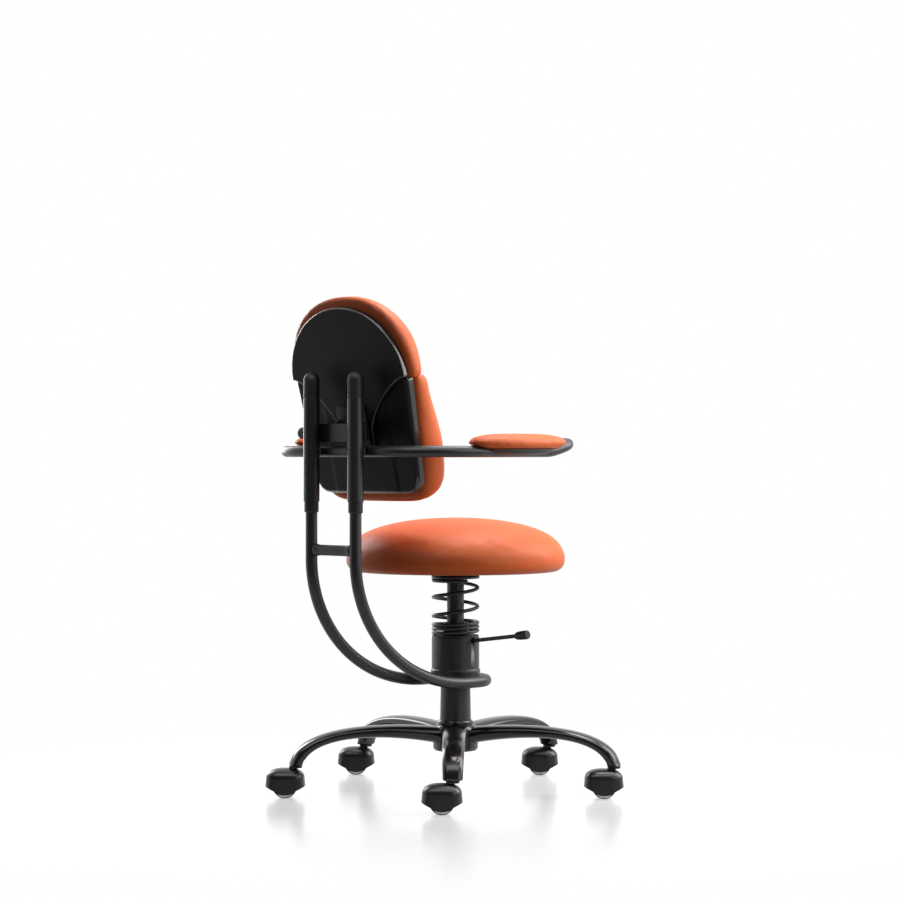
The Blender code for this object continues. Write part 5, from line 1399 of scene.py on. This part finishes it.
def stuffed(piece, held, reach):
    """Swells a closed skin with air as cloth, so that its rim rounds and its crown fills.

    The skin is remade in even faces, its held points stay, the cloth is pushed out by pressure, and no
    point moves further than a reach.
    """
    even = piece.modifiers.new("even faces", "REMESH")
    even.mode = "VOXEL"
    even.voxel_size = CLOTH_CELL
    even.use_smooth_shade = True
    apply_modifiers(piece)
    before = points_of(piece)
    pins = piece.vertex_groups.new(name="held")
    pins.add(np.nonzero(held(before))[0].tolist(), 1.0, "REPLACE")
    cloth = piece.modifiers.new("cloth", "CLOTH")
    for key, value in CLOTH_SETTINGS.items():
        setattr(cloth.settings, key, value)
    cloth.settings.effector_weights.gravity = 0.0
    cloth.collision_settings.use_collision = False
    cloth.point_cache.frame_start = 1
    cloth.point_cache.frame_end = CLOTH_STEPS
    for step in range(1, CLOTH_STEPS + 1):
        bpy.context.scene.frame_set(step)
    apply_modifiers(piece)
    bpy.context.scene.frame_set(1)
    moved = points_of(piece) - before
    far = np.linalg.norm(moved, axis=1, keepdims=True)
    after = before + moved * np.minimum(1, reach / np.maximum(far, 1e-9))
    piece.data.vertices.foreach_set("co", after.ravel())
    soften = piece.modifiers.new("even out", "SMOOTH")
    soften.factor = 0.5
    soften.iterations = 9
    finer = piece.modifiers.new("finer", "SUBSURF")
    finer.levels = 1
    finer.render_levels = 1
    apply_modifiers(piece)
    piece.vertex_groups.clear()
    piece.data.polygons.foreach_set("use_smooth", np.ones(len(piece.data.polygons), bool))
    piece.data.update()


def pillow_grid(outline, centre, back, thickness, top_share, foot, head):
    """Crowned cushion: its rim is drawn in at the back, bulges, and closes in over the crown.

    Rings turn from the outline to an oval as they shrink, and the thickness grows towards the foot.
    """
    plan = smooth_through(CUSHION_LEVELS, 70)
    scale = plan[:, :1]
    depth = plan[:, 1:]
    x = outline[None, :, 0]
    z = outline[None, :, 1] - centre
    wide = outline[:, 0].max()
    tall = (head - foot) / 2
    turn = np.arctan2(z / tall, x / wide)
    fade = 1 - scale ** 2
    across = scale * (x + (wide * np.cos(turn) - x) * fade)
    rise = scale * (z + (tall * np.sin(turn) - z) * fade)
    share = smooth_step((head - centre - rise) / (head - foot) * 1.6)
    deep = thickness * (top_share + (1 - top_share) * share)
    return leaning(np.stack([across, back - deep * depth, centre + rise], axis=-1))


def behind(plane):
    """A test for points of the leaning frame that lie at or behind a plane."""
    normal = leaning(np.array([0, 1.0, 0])) - PIVOT
    return lambda points: (points - PIVOT) @ normal > plane


def back_cushion(node, grid, back):
    """One back cushion: a closed skin, held along its back and swelled."""
    skin = mesh_piece(f"{node}_skin", grid)
    stuffed(skin, behind(back - CUSHION_HELD), CUSHION_REACH)
    seat_on(skin, "back_rest", "orange_leather", LEATHER, node)
    return skin


def build_back_cushions():
    """Arched upper cushion and the fuller lower cushion, both swelled."""
    half = SHELL_HALF_WIDTH + CUSHION_SIDE_OVERHANG + CUSHION_EXTRA
    base = SHELL_SPLIT - UPPER_CUSHION_DROP
    top = SHELL_TOP + CUSHION_TOP_OVERHANG + CUSHION_EXTRA
    outline = closed_evenly(arch_line(half + ARCH_SPREAD, base, top, ARCH_CUSHION_POWER), 280)
    back = -SHELL_OFFSET - UPPER_SHELL_THICKNESS - GAP
    deep = UPPER_CUSHION_THICKNESS + CUSHION_EXTRA
    centre = base + 0.4 * (top - base)
    grid = pillow_grid(outline, centre, back, deep, UPPER_CUSHION_TOP_SHARE, base, top)
    upper = back_cushion("back_upper_cushion", grid, back)
    foot_half = SHELL_FOOT_HALF_WIDTH + CUSHION_SIDE_OVERHANG + CUSHION_EXTRA
    head = SHELL_SPLIT - LOWER_CUSHION_HEAD
    foot = SHELL_BOTTOM - CUSHION_FOOT_OVERHANG - CUSHION_EXTRA
    corner = (SHELL_CORNER + CUSHION_FOOT_OVERHANG) * CORNER_PULL
    outline = foot_outline(half, foot_half, head, foot, CUSHION_HEAD_CORNER, corner)
    back = LOWER_SHELL_REAR - LOWER_SHELL_THICKNESS - GAP
    deep = LOWER_CUSHION_THICKNESS + CUSHION_EXTRA
    grid = pillow_grid(outline, (head + foot) / 2, back, deep, LOWER_CUSHION_TOP_SHARE, foot, head)
    lower = back_cushion("back_lower_cushion", grid, back)


def build_seat():
    """Round seat cushion: superellipse crown, low belly, drawn in below, with a recess for the board."""
    low = lowest("seat_cushion")
    high = highest("seat_cushion")
    radius = (high - low)[0] / 2 + CUSHION_EXTRA
    crown = (high - low)[2] + CUSHION_EXTRA / 2
    turn = np.linspace(math.pi / 2, 0, 60)
    over = np.abs(np.cos(turn)) ** (2 / SEAT_POWER) * radius
    up = np.sin(turn) ** (2 / SEAT_POWER) * (crown - SEAT_BELLY)
    top = np.stack([over, low[2] + SEAT_BELLY + up], axis=1)
    top[0, 0] = 0
    turn = np.linspace(0, math.pi / 2, 20)[1:]
    inward = SEAT_UNDERCUT * (1 - np.cos(turn))
    under = np.stack([radius - inward, low[2] + SEAT_BELLY * (1 - np.sin(turn))], axis=1)
    recess = highest("seat_board")[2] + GAP
    rim = BOARD_RADIUS + GAP
    hollow = [(rim, low[2]), (rim, recess), (0, recess)]
    profile = np.concatenate([top, under, hollow])
    seat = turned("seat_cushion_skin", profile, around=160, closed=False)
    stuffed(seat, lambda points: points[:, 2] < low[2] + SEAT_HELD, CUSHION_REACH)
    seat_on(seat, "seat", "orange_leather", LEATHER, "seat_cushion")


def build_pads():
    """Arm pads swelled like the cushions, on thin moulded plates."""
    for side in ("left", "right"):
        plate = f"arm_pad_base_{side}"
        grid = pad_grid(plate, PLATE_LEVELS, PLATE_FLAT_SHARE, PLATE_GROWTH, PLATE_SHIFT)
        base = mesh_piece(f"{plate}_moulding", grid)
        seat_on(base, "arm_frame", "black_shell", PLASTIC, plate)
        node = f"arm_pad_{side}"
        grid = pad_grid(node, PAD_LEVELS, PAD_FLAT_SHARE, PAD_GROWTH, PAD_SHIFT)
        pad = mesh_piece(f"{node}_skin", grid)
        held = lowest(node)[2] + PAD_SHIFT[2] - PAD_GROWTH[2] / 2 + PAD_HELD
        stuffed(pad, lambda points, z=held: points[:, 2] < z, PAD_REACH)
        seat_on(pad, "arm_frame", "orange_leather", LEATHER, node)


# Inner parts that stay as solids or show when the chair is raised


def build_inner_parts():
    """Gas cylinder, piston rod, seat post and board as round pieces; the rest keep their solids."""
    rounds = (
        ("gas_cylinder", "carrier", "bright_steel", SATIN),
        ("piston_rod", "rod", "bright_steel", STEEL),
        ("seat_post", "seat", "painted_steel", SATIN),
        ("seat_board", "seat", "plywood", PLY),
    )
    for node, body, slot, material in rounds:
        low, high = heights(node)
        radius = (highest(node) - lowest(node))[0] / 2
        corners = [(0, low), (radius, low), (radius, high), (0, high)]
        turned_part(node, body, slot, material, corners, 0.0012, closed=False)
    kept = {"rod_clip": STEEL, "post_clip": STEEL, "thrust_bearing": STEEL, "valve_button": PLASTIC}
    for node, material in kept.items():
        mesh = frame["nodes"][node].data
        mesh.materials.clear()
        mesh.materials.append(material)


# Studio


def build_camera():
    """Level camera at the photograph's viewing angle."""
    lens = bpy.data.cameras.new("camera")
    lens.sensor_width = 36.0
    lens.lens = CAMERA_LENS
    lens.shift_x = CAMERA_SHIFT
    camera = linked("camera", lens)
    back = np.array([math.sin(CAMERA_TURN), -math.cos(CAMERA_TURN), 0])
    camera.location = COLUMN + back * CAMERA_DISTANCE + [0, 0, CAMERA_HEIGHT]
    camera.rotation_euler = (math.pi / 2, 0, CAMERA_TURN)
    bpy.context.scene.camera = camera


def placed(right, away, up):
    """A place given from the column: to the camera's right, away from the camera, and up."""
    ahead = np.array([-math.sin(CAMERA_TURN), math.cos(CAMERA_TURN), 0])
    across = np.array([math.cos(CAMERA_TURN), math.sin(CAMERA_TURN), 0])
    return COLUMN + across * right + ahead * away + [0, 0, up]


def softbox(name, place, target, width, height, power):
    """A rectangular lamp that looks at a target."""
    light = bpy.data.lights.new(name, "AREA")
    light.shape = "RECTANGLE"
    light.size = width
    light.size_y = height
    light.energy = power
    lamp = linked(name, light)
    lamp.location = place
    toward = mathutils.Vector(target - place)
    lamp.rotation_euler = toward.to_track_quat("-Z", "Y").to_euler()
    return lamp


def build_lights():
    """One softbox for each lamp of the table; the card lights no matt face and shows in glossy ones."""
    middle = placed(0, 0, LIT_HEIGHT)
    for name, place, width, height, power in LAMPS:
        lamp = softbox(name, placed(*place), middle, width, height, power)
        lamp.visible_diffuse = name != "card"


def build_world():
    """White for the camera, glossy and see-through rays; a soft low light for all others."""
    world = bpy.data.worlds.new("studio")
    world.use_nodes = True
    tree = world.node_tree
    tree.nodes.clear()
    path = tree.nodes.new("ShaderNodeLightPath")
    seen = path.outputs["Is Camera Ray"]
    for ray in ("Is Glossy Ray", "Is Transmission Ray"):
        either = tree.nodes.new("ShaderNodeMath")
        either.operation = "MAXIMUM"
        tree.links.new(seen, either.inputs[0])
        tree.links.new(path.outputs[ray], either.inputs[1])
        seen = either.outputs[0]
    soft = tree.nodes.new("ShaderNodeBackground")
    soft.inputs["Strength"].default_value = AMBIENT
    white = tree.nodes.new("ShaderNodeBackground")
    for back in (soft, white):
        back.inputs["Color"].default_value = (1, 1, 1, 1)
    blend = tree.nodes.new("ShaderNodeMixShader")
    tree.links.new(seen, blend.inputs[0])
    tree.links.new(soft.outputs[0], blend.inputs[1])
    tree.links.new(white.outputs[0], blend.inputs[2])
    out = tree.nodes.new("ShaderNodeOutputWorld")
    tree.links.new(blend.outputs[0], out.inputs["Surface"])
    bpy.context.scene.world = world


def floor_finish():
    """White floor that keeps shadows near the chair and fades to the white around it."""
    made = Finish("white_floor")
    ends = {0: made.where, 1: tuple(COLUMN)}
    away = made.node("ShaderNodeVectorMath", {"operation": "DISTANCE"}, ends, "Value")
    camera = made.node("ShaderNodeLightPath", output="Is Camera Ray")
    glossy = made.node("ShaderNodeLightPath", output="Is Glossy Ray")
    made.set("Base Color", FLOOR_COLOUR)
    made.set("Roughness", FLOOR_ROUGHNESS)
    made.set("Emission Color", made.mix((0, 0, 0), FLOOR_GLOW, camera + glossy))
    made.set("Emission Strength", 1.0)
    made.set("Alpha", 1 - made.between(away, FLOOR_RADIUS * FADE_START, FLOOR_RADIUS * FADE_END))
    return made.material


def build_floor():
    """A round floor: rings of points about the column."""
    rings = np.linspace(0, FLOOR_RADIUS, 12)
    grid = turned_grid(np.stack([rings, 0 * rings], axis=1), 96) + COLUMN
    floor = mesh_piece("floor", grid, capped=False)
    floor.data.materials.append(floor_finish())


def build_dark_side():
    """Dark curtain behind the camera that only mirrors see, so that black faces towards it stay black."""
    turn = np.linspace(-CURTAIN_HALF_ANGLE, CURTAIN_HALF_ANGLE, 40) + CAMERA_TURN - math.pi / 2
    ring = np.stack([np.cos(turn), np.sin(turn), 0 * turn], axis=1)
    rows = np.stack([COLUMN + ring * radius + [0, 0, z] for radius, z in CURTAIN_PROFILE])
    curtain = mesh_piece("curtain", rows, around_closed=False, capped=False)
    made = Finish("dark_curtain")
    made.set("Base Color", (0.02, 0.02, 0.02))
    made.set("Roughness", 1.0)
    made.set("Emission Color", (0.12, 0.12, 0.12))
    made.set("Emission Strength", 1.0)
    curtain.data.materials.append(made.material)
    curtain.visible_camera = False
    curtain.visible_diffuse = False
    curtain.visible_shadow = False


def build_chair():
    """All pieces, from the floor up."""
    build_star_base()
    for number in range(1, LEG_COUNT + 1):
        caster_hood(number)
        caster_stem(number)
        caster_axle(number)
        for side in ("left", "right"):
            caster_wheel(number, side)
    build_column()
    build_housing()
    build_lever()
    build_post()
    build_spring()
    build_hoop()
    for side in ("left", "right"):
        build_upright(side)
    build_arm_tube()
    build_shells()
    build_back_fittings()
    build_back_knob()
    build_back_cushions()
    build_seat()
    build_pads()
    build_inner_parts()


bpy.context.scene.view_settings.view_transform = "Standard"
build_camera()
build_lights()
build_world()
build_floor()
build_dark_side()
build_chair()
